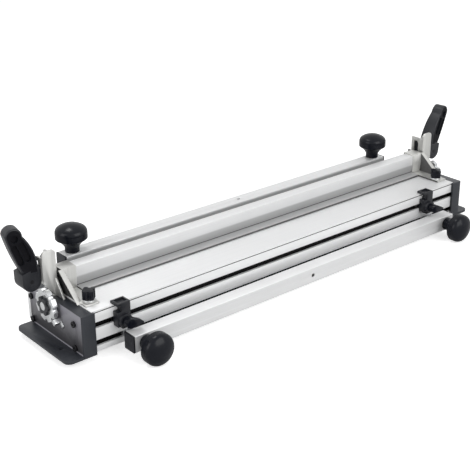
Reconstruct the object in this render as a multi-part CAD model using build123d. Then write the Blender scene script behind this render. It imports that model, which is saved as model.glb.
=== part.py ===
from build123d import *
import os
from math import atan2, cos, degrees, pi, radians, sin, sqrt

# Clamping bench of a joint template jig: a table between two cheeks, a front and a rear
# clamping bar, and a template beam that rides up and down on slotted uprights.
# Millimetres. +X runs along the table, -Y is the front, +Z is up. The origin is on the floor,
# midway between the two foot holes.

# Cheeks: bent steel plates at the two ends
cheek_span = 780.0
cheek_height = 63.0
cheek_depth = 137.0
cheek_sheet = 4.0
cheek_bend_radius = 2.0
front_flange_width = 21.0
top_flange_width = 18.0
foot_width = 26.0
foot_corner_radius = 10.0
foot_hole_diameter = 7.0
foot_hole_setback = 40.0
foot_hole_offset = 11.0
cheek_screw_diameter = 5.0
cheek_screw_head_diameter = 9.0
cheek_screw_head_height = 3.0
cheek_screw_length = 20.0
cheek_screw_inset = 15.5
cheek_screw_back_inset = 6.0
cheek_screw_low_height = 10.0
cheek_screw_high_height = 46.0

# Table: one extrusion between the cheeks, with two slots in front and one on top
table_proud = 1.0
table_ground_gap = 2.0
table_overhang = 14.0
table_front_wall = 20.0
table_back_wall = 26.0
table_wall = 4.0
table_deck = 9.0
table_rib = 6.0
table_rib_setback = 74.0
table_edge_groove = 1.2
table_edge_groove_drop = 2.5
slot_opening = 8.8
slot_lip = 4.0
slot_chamber_width = 13.0
slot_chamber_depth = 7.0
upper_slot_height = 42.0

# Clamps: the same bar, studs and knobs in front of the table and on top of it
bar_length = 660.0
bar_width = 25.0
bar_depth = 22.0
bar_wall = 2.0
bar_edge_radius = 1.2
front_bar_gap = 16.0
rear_bar_gap = 2.0
bar_floor_gap = 2.5
bar_centre_hole = 6.0
cap_flange = 3.0
cap_plug_length = 10.0
cap_edge_radius = 1.0
clamp_screw_inset = 17.0
rear_clamp_setback = 142.5
front_closing_travel = 12.0
rear_closing_travel = 1.5
stud_diameter = 8.0
stud_tip_gap = 1.5
tee_nut_length = 18.0
knob_diameter = 47.0
knob_neck_diameter = 21.5
knob_neck_height = 8.0
knob_rim_height = 21.0
knob_flare_sag = 1.5
knob_rim_band = 9.0
knob_crown = 6.0
knob_shoulder_radius = 9.0
knob_dome_angle = 58.0
knob_seat_gap = 0.6
bush_diameter = 12.0
bush_length = 20.0
spring_wire = 1.4
spring_diameter = 14.0
spring_turns = 4.0
spring_lead_in = 2.8
spring_lead_angle = 15.0

# Template beam: extrusion with a leaning lower face and a lip, held in brackets
beam_table_gap = 2.5
beam_height = 31.4
beam_width = 19.5
beam_setback = 77.0
beam_face_height = 15.7
beam_lean = 1.5
beam_lip_reach = 17.0
beam_lip_root = 6.0
beam_lip_drop = 1.7
beam_lip_height = 3.2
beam_lip_nose_radius = 2.0
beam_lip_end_gap = 1.5
beam_wall = 2.5
beam_travel = 20.0
beam_port_diameter = 10.0
bracket_sheet = 2.5
bracket_table_gap = 0.5
sleeve_sheet = 2.0
sleeve_length = 20.0
bracket_flange_width = 21.6
bracket_flange_front = 19.0
gusset_foot_setback = 32.0
gusset_back_margin = 10.4
gusset_lip = 5.0
bracket_screw_diameter = 5.0
bracket_screw_head_diameter = 8.0
bracket_screw_head_height = 2.5
bracket_screw_length = 18.0

# Channel uprights, guide blocks, tie bolts and cam levers at each end of the beam
upright_sheet = 3.0
upright_inset = 10.5
upright_front_margin = 17.0
upright_back_margin = 10.4
upright_top_margin = 6.0
upright_flange_width = 21.0
upright_flange_base = 85.0
upright_flange_rise = 9.5
upright_corner_radius = 6.0
upright_foot_width = 11.0
upright_toe_reach = 18.0
upright_toe_height = 26.0
upright_cheek_depth = 21.5
upright_cheek_radius = 8.0
upright_screw_diameter = 4.0
upright_screw_head_diameter = 7.0
upright_screw_head_height = 2.4
upright_screw_length = 10.0
gusset_upright_gap = 5.8
guide_thickness = 5.5
guide_rise = 24.0
guide_drop = 15.0
guide_front_margin = 7.5
tie_bolt_rise = 24.9
tie_bolt_diameter = 10.0
tie_bolt_setback = 95.6
tie_eye_diameter = 17.0
lever_length = 81.5
lever_width = 28.0
lever_thickness = 24.0
lever_shoulder_height = 14.0
lever_seat_height = 20.0
grip_turn = 10.0
grip_thickness = 24.0
grip_tip_thickness = 18.0
grip_taper_start = 22.0
grip_root_height = 12.0
grip_root_inner_reach = 12.0
grip_root_outer_reach = 9.0
grip_inner_bulge = 6.0
grip_outer_bulge = 1.5
grip_inner_drop = 13.0
grip_inner_reach = 5.5
grip_outer_drop = 11.0
grip_outer_reach = 29.5
grip_tip_reach = 19.0
grip_corner_radius = 6.0
grip_edge_radius = 2.5
grip_pocket_depth = 4.0
grip_pocket_width = 9.0
grip_pocket_start = 29.0
grip_pocket_drop = 22.0
grip_rib = 1.8
grip_cap_pocket_diameter = 11.0
lever_pin_diameter = 6.0
left_lever_lean = 0.0
right_lever_lean = 7.0

# Star knobs on the bracket flanges
star_setback = 31.0
star_gusset_gap = 0.5
star_core_diameter = 13.0
star_lobe_diameter = 7.6
star_lobe_circle = 12.4
star_lobes = 4
star_height = 13.0
star_washer_diameter = 17.0
star_washer_height = 2.5
star_stud_diameter = 6.0

# Index wheels on the outside of the cheeks
index_setback = 76.0
index_drop = 7.5
index_disc_diameter = 48.0
index_disc_thickness = 7.0
index_disc_stand_off = 4.0
index_notches = 8
index_notch_diameter = 7.0
index_knob_core = 21.0
index_knob_lobes = 6
index_knob_lobe_diameter = 9.0
index_knob_lobe_circle = 19.0
index_knob_height = 3.5
index_axle_diameter = 8.0
index_axle_head_diameter = 12.0
index_axle_head_height = 2.0
index_clip_width = 8.0
index_clip_length = 14.0
index_clip_angle = 222.0
index_clip_gap = 0.4

# Side stops that slide along the upper front slot
left_stop_inset = 62.5
right_stop_inset = 94.0
stop_width = 21.0
stop_thickness = 10.7
stop_bar_gap = 1.5
stop_hook_reach = 6.0
stop_hook_height = 4.0
stop_pocket_depth = 3.0
stop_pocket_wall = 3.0
stop_boss_diameter = 20.0
stop_boss_height = 5.0
stop_waist_height = 9.0
stop_leg_height = 4.0
stop_notch = 7.0
stop_edge_radius = 1.0
stop_screw_diameter = 6.0
stop_nut_length = 18.0
wing_barrel_diameter = 14.0
wing_height = 12.0
wing_reach = 20.0
wing_droop = 3.0
wing_tip_radius = 1.6

# Clearances
running_gap = 0.05
stud_gap = 0.1
slide_gap = 0.3
thread_gap = 0.05
hole_gap = 0.25
nut_gap = 0.3

# Reference places that follow from the sizes above
half_span = cheek_span / 2
web_inner_x = half_span - cheek_sheet
front_y = -foot_hole_setback
back_y = front_y + cheek_depth
table_back_y = back_y + table_overhang
table_front_y = front_y + cheek_sheet
table_top = cheek_height + table_proud
clamp_height = bar_floor_gap + bar_width / 2
rear_clamp_y = front_y + rear_clamp_setback
slot_depth = slot_lip + slot_chamber_depth

upright_outer_x = half_span - upright_inset
upright_inner_x = upright_outer_x - upright_sheet
gusset_outer_x = upright_inner_x - gusset_upright_gap
gusset_inner_x = gusset_outer_x - bracket_sheet
beam_front_y = front_y + beam_setback
beam_back_y = beam_front_y + beam_width
beam_bottom = table_top + beam_table_gap
beam_top = beam_bottom + beam_height
tie_bolt_y = front_y + tie_bolt_setback
tie_bolt_z = beam_bottom + tie_bolt_rise
channel_outer_x = upright_inner_x + upright_flange_width
channel_inner_x = channel_outer_x - upright_sheet
cam_radius = lever_width / 2
pivot_x = channel_outer_x + slide_gap + cam_radius
bracket_bottom = table_top + bracket_table_gap
flange_inner_x = gusset_outer_x - bracket_flange_width

LEFT = -1
RIGHT = 1
SIDES = {"left": LEFT, "right": RIGHT}


def block(x_limits, y_limits, z_limits):
    """Box between two limits on each axis."""
    limits = (x_limits, y_limits, z_limits)
    centre = [(low + high) / 2 for low, high in limits]
    size = [high - low for low, high in limits]
    return Pos(*centre) * Box(*size)


def rod_x(x_limits, y, z, diameter):
    """Round bar along X."""
    low, high = x_limits
    return Pos((low + high) / 2, y, z) * Rot(0, 90, 0) * Cylinder(diameter / 2, high - low)


def rod_y(x, y_limits, z, diameter):
    """Round bar along Y."""
    low, high = y_limits
    return Pos(x, (low + high) / 2, z) * Rot(90, 0, 0) * Cylinder(diameter / 2, high - low)


def rod_z(x, y, z_limits, diameter):
    """Round bar along Z."""
    low, high = z_limits
    return Pos(x, y, (low + high) / 2) * Cylinder(diameter / 2, high - low)


def prism_x(face, x_limits):
    """Face drawn in (y, z), pushed along X."""
    low, high = x_limits
    return extrude(Plane.YZ.offset(low) * face, amount=high - low, dir=(1, 0, 0))


def prism_y(face, y_limits):
    """Face drawn in (x, z), pushed along Y."""
    low, high = y_limits
    return extrude(Plane.XZ.offset(-low) * face, amount=high - low, dir=(0, 1, 0))


def outline(*points):
    """Flat face with straight edges through the points."""
    return Polygon(*points, align=None)


def on_side(shape, side):
    """A shape drawn on the right, or its mirror image on the left."""
    if side == LEFT:
        return mirror(shape, about=Plane.YZ)
    return shape


def group(shapes):
    """Several separate solids kept together, or the one solid there is."""
    solids = [solid for shape in shapes for solid in shape.solids()]
    return Compound(children=solids) if len(solids) > 1 else solids[0]


def lobed(core_diameter, lobe_diameter, lobe_circle, count):
    """Flat outline of a lobed hand knob."""
    face = Circle(core_diameter / 2)
    for index in range(count):
        angle = 2 * pi * index / count
        centre = Pos(lobe_circle / 2 * cos(angle), lobe_circle / 2 * sin(angle))
        face += centre * Circle(lobe_diameter / 2)
    return face


def table_extrusion():
    """Hollow table with tee slots, notched at the ends for the cheeks' top flanges."""
    run = (-web_inner_x, web_inner_x)
    body = block(run, (table_front_y, table_back_y), (table_ground_gap, table_top))
    floor = table_ground_gap + table_wall
    rib_front = front_y + table_rib_setback
    front_room_y = (table_front_y + table_front_wall, rib_front)
    rear_room_y = (rib_front + table_rib, table_back_y - table_back_wall)
    body -= block(run, front_room_y, (floor, table_top - table_deck))
    body -= block(run, rear_room_y, (floor, table_top - slot_depth - table_wall))
    half_opening = slot_opening / 2
    half_chamber = slot_chamber_width / 2
    lip_y = (table_front_y, table_front_y + slot_lip)
    chamber_y = (table_front_y + slot_lip, table_front_y + slot_depth)
    for height in (clamp_height, upper_slot_height):
        body -= block(run, lip_y, (height - half_opening, height + half_opening))
        body -= block(run, chamber_y, (height - half_chamber, height + half_chamber))
    lip_z = (table_top - slot_lip, table_top)
    chamber_z = (table_top - slot_depth, table_top - slot_lip)
    body -= block(run, (rear_clamp_y - half_opening, rear_clamp_y + half_opening), lip_z)
    body -= block(run, (rear_clamp_y - half_chamber, rear_clamp_y + half_chamber), chamber_z)
    groove_y = (table_front_y, table_front_y + table_edge_groove)
    groove_top = table_top - table_edge_groove_drop
    body -= block(run, groove_y, (groove_top - table_edge_groove, groove_top))
    screw_x = (web_inner_x - cheek_screw_length, web_inner_x)
    upright_hole_z = (cheek_height + upright_sheet - upright_screw_length, cheek_height - cheek_sheet)
    for side in SIDES.values():
        notch = block(
            (half_span - top_flange_width, web_inner_x),
            (table_front_y, back_y),
            (cheek_height - cheek_sheet, table_top),
        )
        body -= on_side(notch, side)
        for y, z in cheek_screw_places():
            body -= on_side(rod_x(screw_x, y, z, cheek_screw_diameter + 2 * thread_gap), side)
        for y in upright_screw_places():
            thread = upright_screw_diameter + 2 * thread_gap
            body -= on_side(rod_z(upright_screw_x(), y, upright_hole_z, thread), side)
    return body


def cheek_screw_places():
    """Where the cheek screws enter the table's front wall and back wall, as (y, z)."""
    front = table_front_y + cheek_screw_inset
    back = back_y - cheek_screw_back_inset
    return [(y, z) for y in (front, back) for z in (cheek_screw_low_height, cheek_screw_high_height)]


def upright_screw_x():
    """Line of the upright's screws, midway across its foot."""
    return upright_outer_x + (upright_foot_width - upright_sheet) / 2


def upright_screw_places():
    """Where the upright's screws stand along its foot."""
    front = tie_bolt_y - upright_front_margin + upright_sheet
    back = tie_bolt_y + upright_back_margin
    quarter = (back - front) / 4
    return [front + quarter, back - quarter]


def cheek():
    """Right cheek: web, front flange, top flange and rounded foot, bent from one sheet."""
    web = block((web_inner_x, half_span), (front_y, back_y), (0, cheek_height))
    front = block((half_span - front_flange_width, half_span), (front_y, table_front_y), (0, cheek_height))
    top_x = (half_span - top_flange_width, half_span)
    body = web + front + block(top_x, (front_y, back_y), (cheek_height - cheek_sheet, cheek_height))
    corner = body.edges().filter_by(Axis.Z).sort_by_distance((half_span, front_y, cheek_height / 2))[0]
    body = fillet(corner, cheek_bend_radius)
    foot = block((half_span, half_span + foot_width), (front_y, back_y), (0, cheek_sheet))
    foot_corners = foot.edges().filter_by(Axis.Z).group_by(Axis.X)[-1]
    body += fillet(foot_corners, foot_corner_radius)
    body -= rod_z(half_span + foot_hole_offset, 0, (0, cheek_sheet), foot_hole_diameter)
    for y, z in cheek_screw_places():
        body -= rod_x((web_inner_x, half_span), y, z, cheek_screw_diameter + 2 * hole_gap)
    body -= rod_x((web_inner_x, half_span), index_y, index_z, index_axle_diameter + 2 * thread_gap)
    for y in upright_screw_places():
        hole_z = (cheek_height - cheek_sheet, cheek_height)
        body -= rod_z(upright_screw_x(), y, hole_z, upright_screw_diameter + 2 * hole_gap)
    return body


def cheek_screws():
    """Button-head screws through both cheeks into the ends of the table."""
    screws = []
    for y, z in cheek_screw_places():
        shank = rod_x((web_inner_x - cheek_screw_length, half_span), y, z, cheek_screw_diameter)
        head = rod_x((half_span, half_span + cheek_screw_head_height), y, z, cheek_screw_head_diameter)
        screws.append(shank + head)
    return group([on_side(screw, side) for side in SIDES.values() for screw in screws])


def upright():
    """Right upright: a channel of slotted web, front flange and slotted cheek, with a toe and a foot."""
    front = tie_bolt_y - upright_front_margin
    back = tie_bolt_y + upright_back_margin
    slot_low = tie_bolt_z - tie_bolt_diameter / 2 - stud_gap
    slot_high = tie_bolt_z + beam_travel + tie_bolt_diameter / 2 + stud_gap
    top = slot_high + upright_top_margin
    base = cheek_height
    web_face = outline(
        (front - upright_toe_reach, base),
        (back, base),
        (back, top),
        (front, top),
        (front, base + upright_toe_height),
    )
    slot_width = tie_bolt_diameter + 2 * stud_gap
    slot_middle = (slot_low + slot_high) / 2
    slot_face = Pos(tie_bolt_y, slot_middle) * SlotOverall(slot_high - slot_low, slot_width, rotation=90)
    body = prism_x(web_face - slot_face, (upright_inner_x, upright_outer_x))
    flange_high = top + upright_flange_rise
    cheek_back = front + upright_cheek_depth
    cheek_face = outline(
        (front, upright_flange_base),
        (cheek_back, upright_flange_base),
        (cheek_back, top),
        (front, top),
    )
    cheek_corner = cheek_face.vertices().sort_by_distance((cheek_back, top))[0]
    cheek_face = fillet(cheek_corner, upright_cheek_radius)
    mouth = outline(
        (tie_bolt_y - slot_width / 2, slot_low),
        (cheek_back, slot_low),
        (cheek_back, slot_high),
        (tie_bolt_y - slot_width / 2, slot_high),
    )
    body += prism_x(cheek_face - mouth, (channel_inner_x, channel_outer_x))
    flange_face = outline(
        (upright_inner_x, base),
        (upright_outer_x, base),
        (channel_outer_x, upright_flange_base),
        (channel_outer_x, flange_high),
        (upright_inner_x, flange_high),
    )
    flange_corners = flange_face.vertices().group_by(Axis.Y)[-1]
    flange_face = fillet(flange_corners, upright_corner_radius)
    body += prism_y(flange_face, (front, front + upright_sheet))
    foot = block(
        (upright_inner_x, upright_inner_x + upright_foot_width), (front, back), (base, base + upright_sheet)
    )
    body += foot
    for y in upright_screw_places():
        hole_z = (base, base + upright_sheet)
        body -= rod_z(upright_screw_x(), y, hole_z, upright_screw_diameter + 2 * hole_gap)
    return body


def upright_screws():
    """Small screws that hold both uprights down on the cheeks."""
    seat = cheek_height + upright_sheet
    screws = []
    for y in upright_screw_places():
        shank = rod_z(upright_screw_x(), y, (seat - upright_screw_length, seat), upright_screw_diameter)
        head = rod_z(
            upright_screw_x(), y, (seat, seat + upright_screw_head_height), upright_screw_head_diameter
        )
        screws.append(shank + head)
    return group([on_side(screw, side) for side in SIDES.values() for screw in screws])


# Clamps are drawn with the bar's inner face at z = 0, the studs along +Z and the bar along X,
# then set above the table or turned to stand before its front face.
stud_reach = bar_length / 2 - clamp_screw_inset
stud_places = (-stud_reach, stud_reach)
knob_rim_radius = knob_diameter / 2
knob_band_top = knob_rim_height + knob_rim_band
knob_shoulder_end = (
    knob_rim_radius - knob_shoulder_radius * (1 - cos(radians(knob_dome_angle))),
    knob_band_top + knob_shoulder_radius * sin(radians(knob_dome_angle)),
)
knob_dome_radius = knob_shoulder_end[0] / cos(radians(knob_dome_angle))
knob_height = knob_shoulder_end[1] + knob_dome_radius * (1 - sin(radians(knob_dome_angle)))
knob_bore_depth = knob_height - knob_crown
rear_clamp_frame = Pos(0, rear_clamp_y, table_top + rear_bar_gap)
front_clamp_frame = Pos(0, table_front_y - front_bar_gap, clamp_height) * Rot(90, 0, 0)


def clamp_nuts(gap):
    """Tee nuts in the slot, under the lips."""
    height = (-gap - slot_depth + nut_gap, -gap - slot_lip)
    half_width = slot_chamber_width / 2 - nut_gap
    nuts = []
    for x in stud_places:
        nut = block((x - tee_nut_length / 2, x + tee_nut_length / 2), (-half_width, half_width), height)
        nuts.append(nut - rod_z(x, 0, height, stud_diameter + 2 * thread_gap))
    return group(nuts)


def clamp_studs(gap, closing_travel):
    """Studs from the tee nuts, through the bar, into the knobs, with room left for closing."""
    tip = bar_depth + knob_bore_depth - closing_travel - stud_tip_gap
    height = (-gap - slot_depth + nut_gap, tip)
    return group([rod_z(x, 0, height, stud_diameter) for x in stud_places])


def biarc(start, start_way, end, end_way):
    """Two tangent arcs from one point and direction to another."""
    chord = end - start
    both = start_way + end_way
    spread = 2 * (1 - start_way.dot(end_way))
    along = chord.dot(both)
    reach = (sqrt(along * along + spread * chord.dot(chord)) - along) / spread
    start_handle = start + start_way * reach
    end_handle = end - end_way * reach
    middle = (start_handle + end_handle) * 0.5
    middle_way = (end_handle - start_handle).normalized()
    return [
        TangentArc(start, middle, tangent=start_way),
        TangentArc(middle, end, tangent=middle_way),
    ]


def spring_path():
    """Wire line of one spring: straight ends on the seats, quarter turns between."""
    radius = (spring_diameter - spring_wire) / 2
    seat_z = running_gap - front_bar_gap
    crown_z = -slide_gap
    rise = crown_z - seat_z - 2 * (spring_wire + spring_lead_in)
    pitch = rise / spring_turns
    up = Vector(0, 0, 1)

    def place(turn):
        angle = 2 * pi * turn + pi / 2
        height = seat_z + spring_wire + spring_lead_in + pitch * turn
        return Vector(radius * cos(angle), radius * sin(angle), height)

    def way(turn):
        angle = 2 * pi * turn + pi / 2
        return Vector(-2 * pi * radius * sin(angle), 2 * pi * radius * cos(angle), pitch).normalized()

    quarters = int(4 * spring_turns)
    start_angle = radians(spring_lead_angle)
    seat = Vector(radius * sin(start_angle), radius * cos(start_angle), seat_z)
    crown = Vector(-seat.X, seat.Y, crown_z)
    edges = [Line(seat, seat + up * spring_wire)]
    edges += biarc(seat + up * spring_wire, up, place(0), way(0))
    for index in range(quarters):
        here = index / 4
        there = (index + 1) / 4
        edges += biarc(place(here), way(here), place(there), way(there))
    edges += biarc(place(spring_turns), way(spring_turns), crown - up * spring_wire, up)
    edges.append(Line(crown - up * spring_wire, crown))
    return edges


def spring_self_gap(edges):
    """Least gap between wire stretches that are more than a third of a turn apart."""
    steps = 6
    points = [edge.position_at(step / steps) for edge in edges for step in range(steps)]
    skip = steps * 3
    distances = [
        (points[second] - points[first]).length
        for first in range(len(points))
        for second in range(first + skip, len(points))
    ]
    return min(distances) - spring_wire


def clamp_springs():
    """Springs round the front studs, between the table and the bar."""
    edges = spring_path()
    line = Wire(edges)
    section = Plane(origin=line.position_at(0), z_dir=(0, 0, 1)) * Circle(spring_wire / 2)
    coil = sweep(section, path=line)
    print("spring wire gap", round(spring_self_gap(edges), 2), "volume", round(coil.volume, 1))
    return group([Pos(x, 0, 0) * coil for x in stud_places])


def clamp_bar():
    """Rectangular tube with stud holes and one centre hole in its outer wall."""
    height = (0, bar_depth)
    half_length = bar_length / 2
    half_width = bar_width / 2
    body = block((-half_length, half_length), (-half_width, half_width), height)
    body = fillet(body.edges().filter_by(Axis.X), bar_edge_radius)
    body -= block(
        (-half_length, half_length),
        (-half_width + bar_wall, half_width - bar_wall),
        (bar_wall, bar_depth - bar_wall),
    )
    for x in stud_places:
        body -= rod_z(x, 0, height, stud_diameter + 2 * stud_gap)
    body -= rod_z(0, 0, (bar_depth - bar_wall, bar_depth), bar_centre_hole)
    return body


def clamp_caps():
    """Plastic plugs that close both ends of the bar."""
    half_length = bar_length / 2
    half_width = bar_width / 2
    flange = block((half_length, half_length + cap_flange), (-half_width, half_width), (0, bar_depth))
    flange = fillet(flange.edges().group_by(Axis.X)[-1], cap_edge_radius)
    plug = block(
        (half_length - cap_plug_length, half_length),
        (-half_width + bar_wall + running_gap, half_width - bar_wall - running_gap),
        (bar_wall + running_gap, bar_depth - bar_wall - running_gap),
    )
    return group([on_side(flange + plug, side) for side in SIDES.values()])


def clamp_knob(x):
    """Mushroom knob: neck, flared underside, rim band and domed top, with a blind bore."""
    neck = knob_neck_diameter / 2
    neck_top = (neck, knob_neck_height)
    rim_foot = (knob_rim_radius, knob_rim_height)
    flare_way = (Vector(*rim_foot) - Vector(*neck_top)).normalized()
    flare_sag = Vector(-flare_way.Y, flare_way.X) * knob_flare_sag
    flare_middle = (Vector(*neck_top) + Vector(*rim_foot)) / 2 + flare_sag
    rim_top = (knob_rim_radius, knob_band_top)
    half_turn = radians(knob_dome_angle / 2)
    shoulder_middle = (
        knob_rim_radius - knob_shoulder_radius * (1 - cos(half_turn)),
        knob_band_top + knob_shoulder_radius * sin(half_turn),
    )
    dome_middle_angle = radians((knob_dome_angle + 90) / 2)
    dome_centre = knob_height - knob_dome_radius
    dome_middle = (
        knob_dome_radius * cos(dome_middle_angle),
        dome_centre + knob_dome_radius * sin(dome_middle_angle),
    )
    crown = (0, knob_height)
    profile = [
        Line((0, knob_seat_gap), (neck, knob_seat_gap)),
        Line((neck, knob_seat_gap), neck_top),
        ThreePointArc(neck_top, flare_middle, rim_foot),
        Line(rim_foot, rim_top),
        ThreePointArc(rim_top, shoulder_middle, knob_shoulder_end),
        ThreePointArc(knob_shoulder_end, dome_middle, crown),
        Line(crown, (0, knob_seat_gap)),
    ]
    body = revolve(Plane.XZ * make_face(profile), Axis.Z)
    body -= rod_z(0, 0, (knob_seat_gap, knob_bore_depth), stud_diameter + 2 * hole_gap)
    body -= rod_z(0, 0, (knob_seat_gap, bush_length), bush_diameter)
    return Pos(x, 0, bar_depth) * body


def clamp_bush(x):
    """Threaded bush moulded into a knob."""
    body = rod_z(0, 0, (running_gap, bush_length), bush_diameter)
    body -= rod_z(0, 0, (running_gap, bush_length), stud_diameter + 2 * running_gap)
    return Pos(x, 0, bar_depth) * body


def beam_section():
    """Outline of the template beam in (y, z): upright face above a leaning lower face."""
    return outline(
        (beam_front_y, beam_top),
        (beam_front_y, beam_top - beam_face_height),
        (beam_front_y + beam_lean, beam_bottom),
        (beam_back_y, beam_bottom),
        (beam_back_y, beam_top),
    )


def beam_ports():
    """Screw ports in the beam's ends, as (y, z): one high, one low."""
    edge = beam_port_diameter / 2 + beam_wall / 2
    high = (beam_front_y + edge, beam_top - edge)
    low = (beam_front_y + beam_lean + edge, beam_bottom + edge)
    return [high, low]


def template_beam():
    """Hollow beam between the two brackets, with screw ports at its ends and a lip under its front."""
    foot_y = beam_front_y + beam_lean
    skin = beam_wall
    room = outline(
        (beam_front_y + skin, beam_top - skin),
        (beam_front_y + skin, beam_top - beam_face_height),
        (foot_y + skin, beam_bottom + skin),
        (beam_back_y - skin, beam_bottom + skin),
        (beam_back_y - skin, beam_top - skin),
    )
    for y, z in beam_ports():
        room -= Pos(y, z) * Circle(beam_port_diameter / 2)
    section = beam_section() - room
    for y, z in beam_ports():
        section -= Pos(y, z) * Circle(bracket_screw_diameter / 2 + thread_gap)
    lip_end = flange_inner_x - beam_lip_end_gap
    lip_bottom = beam_bottom - beam_lip_drop
    lip_top = lip_bottom + beam_lip_height
    lip = block((-lip_end, lip_end), (foot_y - beam_lip_reach, foot_y), (lip_bottom, lip_top))
    nose = lip.edges().filter_by(Axis.X).group_by(Axis.Y)[0].sort_by(Axis.Z)[-1]
    lip = fillet(nose, beam_lip_nose_radius)
    lip += block((-lip_end, lip_end), (foot_y, foot_y + beam_lip_root), (lip_bottom, beam_bottom))
    return prism_x(section, (-gusset_inner_x, gusset_inner_x)) + lip


def gusset_top():
    """Height of the bracket's gusset, level with the top of its sleeve."""
    return beam_top + sleeve_sheet


def beam_bracket():
    """Right bracket: flange on the table, gusset plate, sloped lip and sleeve round the beam."""
    gusset_front = front_y + gusset_foot_setback
    gusset_back = tie_bolt_y + gusset_back_margin
    crown_y = beam_front_y - sleeve_sheet
    gusset = outline(
        (gusset_front, bracket_bottom),
        (gusset_back, bracket_bottom),
        (gusset_back, gusset_top()),
        (crown_y, gusset_top()),
    )
    body = prism_x(gusset, (gusset_inner_x, gusset_outer_x))
    flange = block(
        (flange_inner_x, gusset_outer_x),
        (front_y + bracket_flange_front, crown_y + sleeve_sheet / 2),
        (bracket_bottom, bracket_bottom + bracket_sheet),
    )
    body += flange
    slope = Vector(crown_y - gusset_front, gusset_top() - bracket_bottom).normalized()
    inward = Vector(slope.Y, -slope.X) * bracket_sheet
    lip = outline(
        (gusset_front, bracket_bottom),
        (gusset_front + inward.X, bracket_bottom),
        (crown_y + inward.X, gusset_top()),
        (crown_y, gusset_top()),
    )
    body += prism_x(lip, (gusset_outer_x, gusset_outer_x + gusset_lip))
    sleeve = offset(beam_section(), amount=sleeve_sheet, kind=Kind.INTERSECTION) - beam_section()
    body += prism_x(sleeve, (gusset_inner_x - sleeve_length, gusset_inner_x))
    for y, z in beam_ports():
        body -= rod_x((gusset_inner_x, gusset_outer_x), y, z, bracket_screw_diameter + 2 * hole_gap)
    body -= rod_x(
        (gusset_inner_x, gusset_outer_x), tie_bolt_y, tie_bolt_z, tie_bolt_diameter + 2 * running_gap
    )
    hole_z = (bracket_bottom, bracket_bottom + bracket_sheet)
    body -= rod_z(star_x(), star_y(), hole_z, star_stud_diameter + 2 * running_gap)
    return body


def bracket_screws():
    """Screws through both gussets into the beam's ports."""
    screws = []
    for y, z in beam_ports():
        shank_x = (gusset_outer_x - bracket_screw_length, gusset_outer_x)
        head_x = (gusset_outer_x, gusset_outer_x + bracket_screw_head_height)
        shank = rod_x(shank_x, y, z, bracket_screw_diameter)
        screws.append(shank + rod_x(head_x, y, z, bracket_screw_head_diameter))
    return group([on_side(screw, side) for side in SIDES.values() for screw in screws])


def guide_block():
    """Right guide block on the tie bolt, inside the upright's channel."""
    inner_x = upright_outer_x + slide_gap
    run = (inner_x, inner_x + guide_thickness)
    body = block(
        run,
        (tie_bolt_y - guide_front_margin, tie_bolt_y + gusset_back_margin),
        (tie_bolt_z - guide_drop, tie_bolt_z + guide_rise),
    )
    return body - rod_x(run, tie_bolt_y, tie_bolt_z, tie_bolt_diameter + 2 * running_gap)


def tie_bolt():
    """Right tie bolt: a stud from the gusset through the upright's slots, with an eye in the lever."""
    shank = rod_x((gusset_inner_x, pivot_x), tie_bolt_y, tie_bolt_z, tie_bolt_diameter)
    eye_y = (tie_bolt_y - tie_bolt_diameter / 2, tie_bolt_y + tie_bolt_diameter / 2)
    eye = rod_y(pivot_x, eye_y, tie_bolt_z, tie_eye_diameter)
    hole = rod_y(pivot_x, eye_y, tie_bolt_z, lever_pin_diameter + 2 * running_gap)
    return shank + eye - hole


def lever_cam():
    """Flat outline of a lever's cam block about its pivot at (0, 0), with its flat seat inwards."""
    half = lever_width / 2
    seat = (-half, 0)
    heel = (half, 0)
    shoulder = (half, lever_shoulder_height)
    seat_top = (-half, lever_seat_height)
    cam = ThreePointArc(seat, (0, -half), heel)
    return make_face([cam, Line(heel, shoulder), Line(shoulder, seat_top), Line(seat_top, seat)])


def grip_outline():
    """Flat outline of a lever's grip, which bends outwards above the cam block."""
    root_in = Vector(-grip_root_inner_reach, grip_root_height)
    root_out = Vector(grip_root_outer_reach, grip_root_height)
    brow_in = Vector(grip_inner_reach, lever_length - grip_inner_drop)
    brow_out = Vector(grip_outer_reach, lever_length - grip_outer_drop)
    middle_in = (root_in + brow_in) / 2 - Vector(grip_inner_bulge, 0)
    middle_out = (root_out + brow_out) / 2 + Vector(grip_outer_bulge, 0)
    inside = ThreePointArc(root_in, middle_in, brow_in)
    crown = ThreePointArc(brow_in, (grip_tip_reach, lever_length), brow_out)
    outside = ThreePointArc(brow_out, middle_out, root_out)
    face = make_face([inside, crown, outside, Line(root_out, root_in)])
    brows = [face.vertices().sort_by_distance(spot)[0] for spot in (brow_in, brow_out)]
    return fillet(brows, grip_corner_radius)


def grip_pockets():
    """Lightening pockets in the grip's front: two long ones, one round one near the tip."""
    pocket_end = lever_length - grip_pocket_drop
    root = Vector((grip_root_outer_reach - grip_root_inner_reach) / 2, grip_root_height)
    brow = Vector((grip_inner_reach + grip_outer_reach) / 2, lever_length - grip_inner_drop)
    way = (brow - root).normalized()
    across = Vector(way.Y, -way.X)
    middle = root + way * (((grip_pocket_start + pocket_end) / 2 - grip_root_height) / way.Y)
    length = (pocket_end - grip_pocket_start) / way.Y
    angle = degrees(atan2(way.Y, way.X))
    faces = []
    for side in (-1, 1):
        spot = middle + across * (side * (grip_pocket_width + grip_rib) / 2)
        faces.append(Pos(spot.X, spot.Y) * SlotOverall(length, grip_pocket_width, rotation=angle))
    cap = middle + way * (length / 2 + grip_rib + grip_cap_pocket_diameter / 2)
    faces.append(Pos(cap.X, cap.Y) * Circle(grip_cap_pocket_diameter / 2))
    return faces


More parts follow.
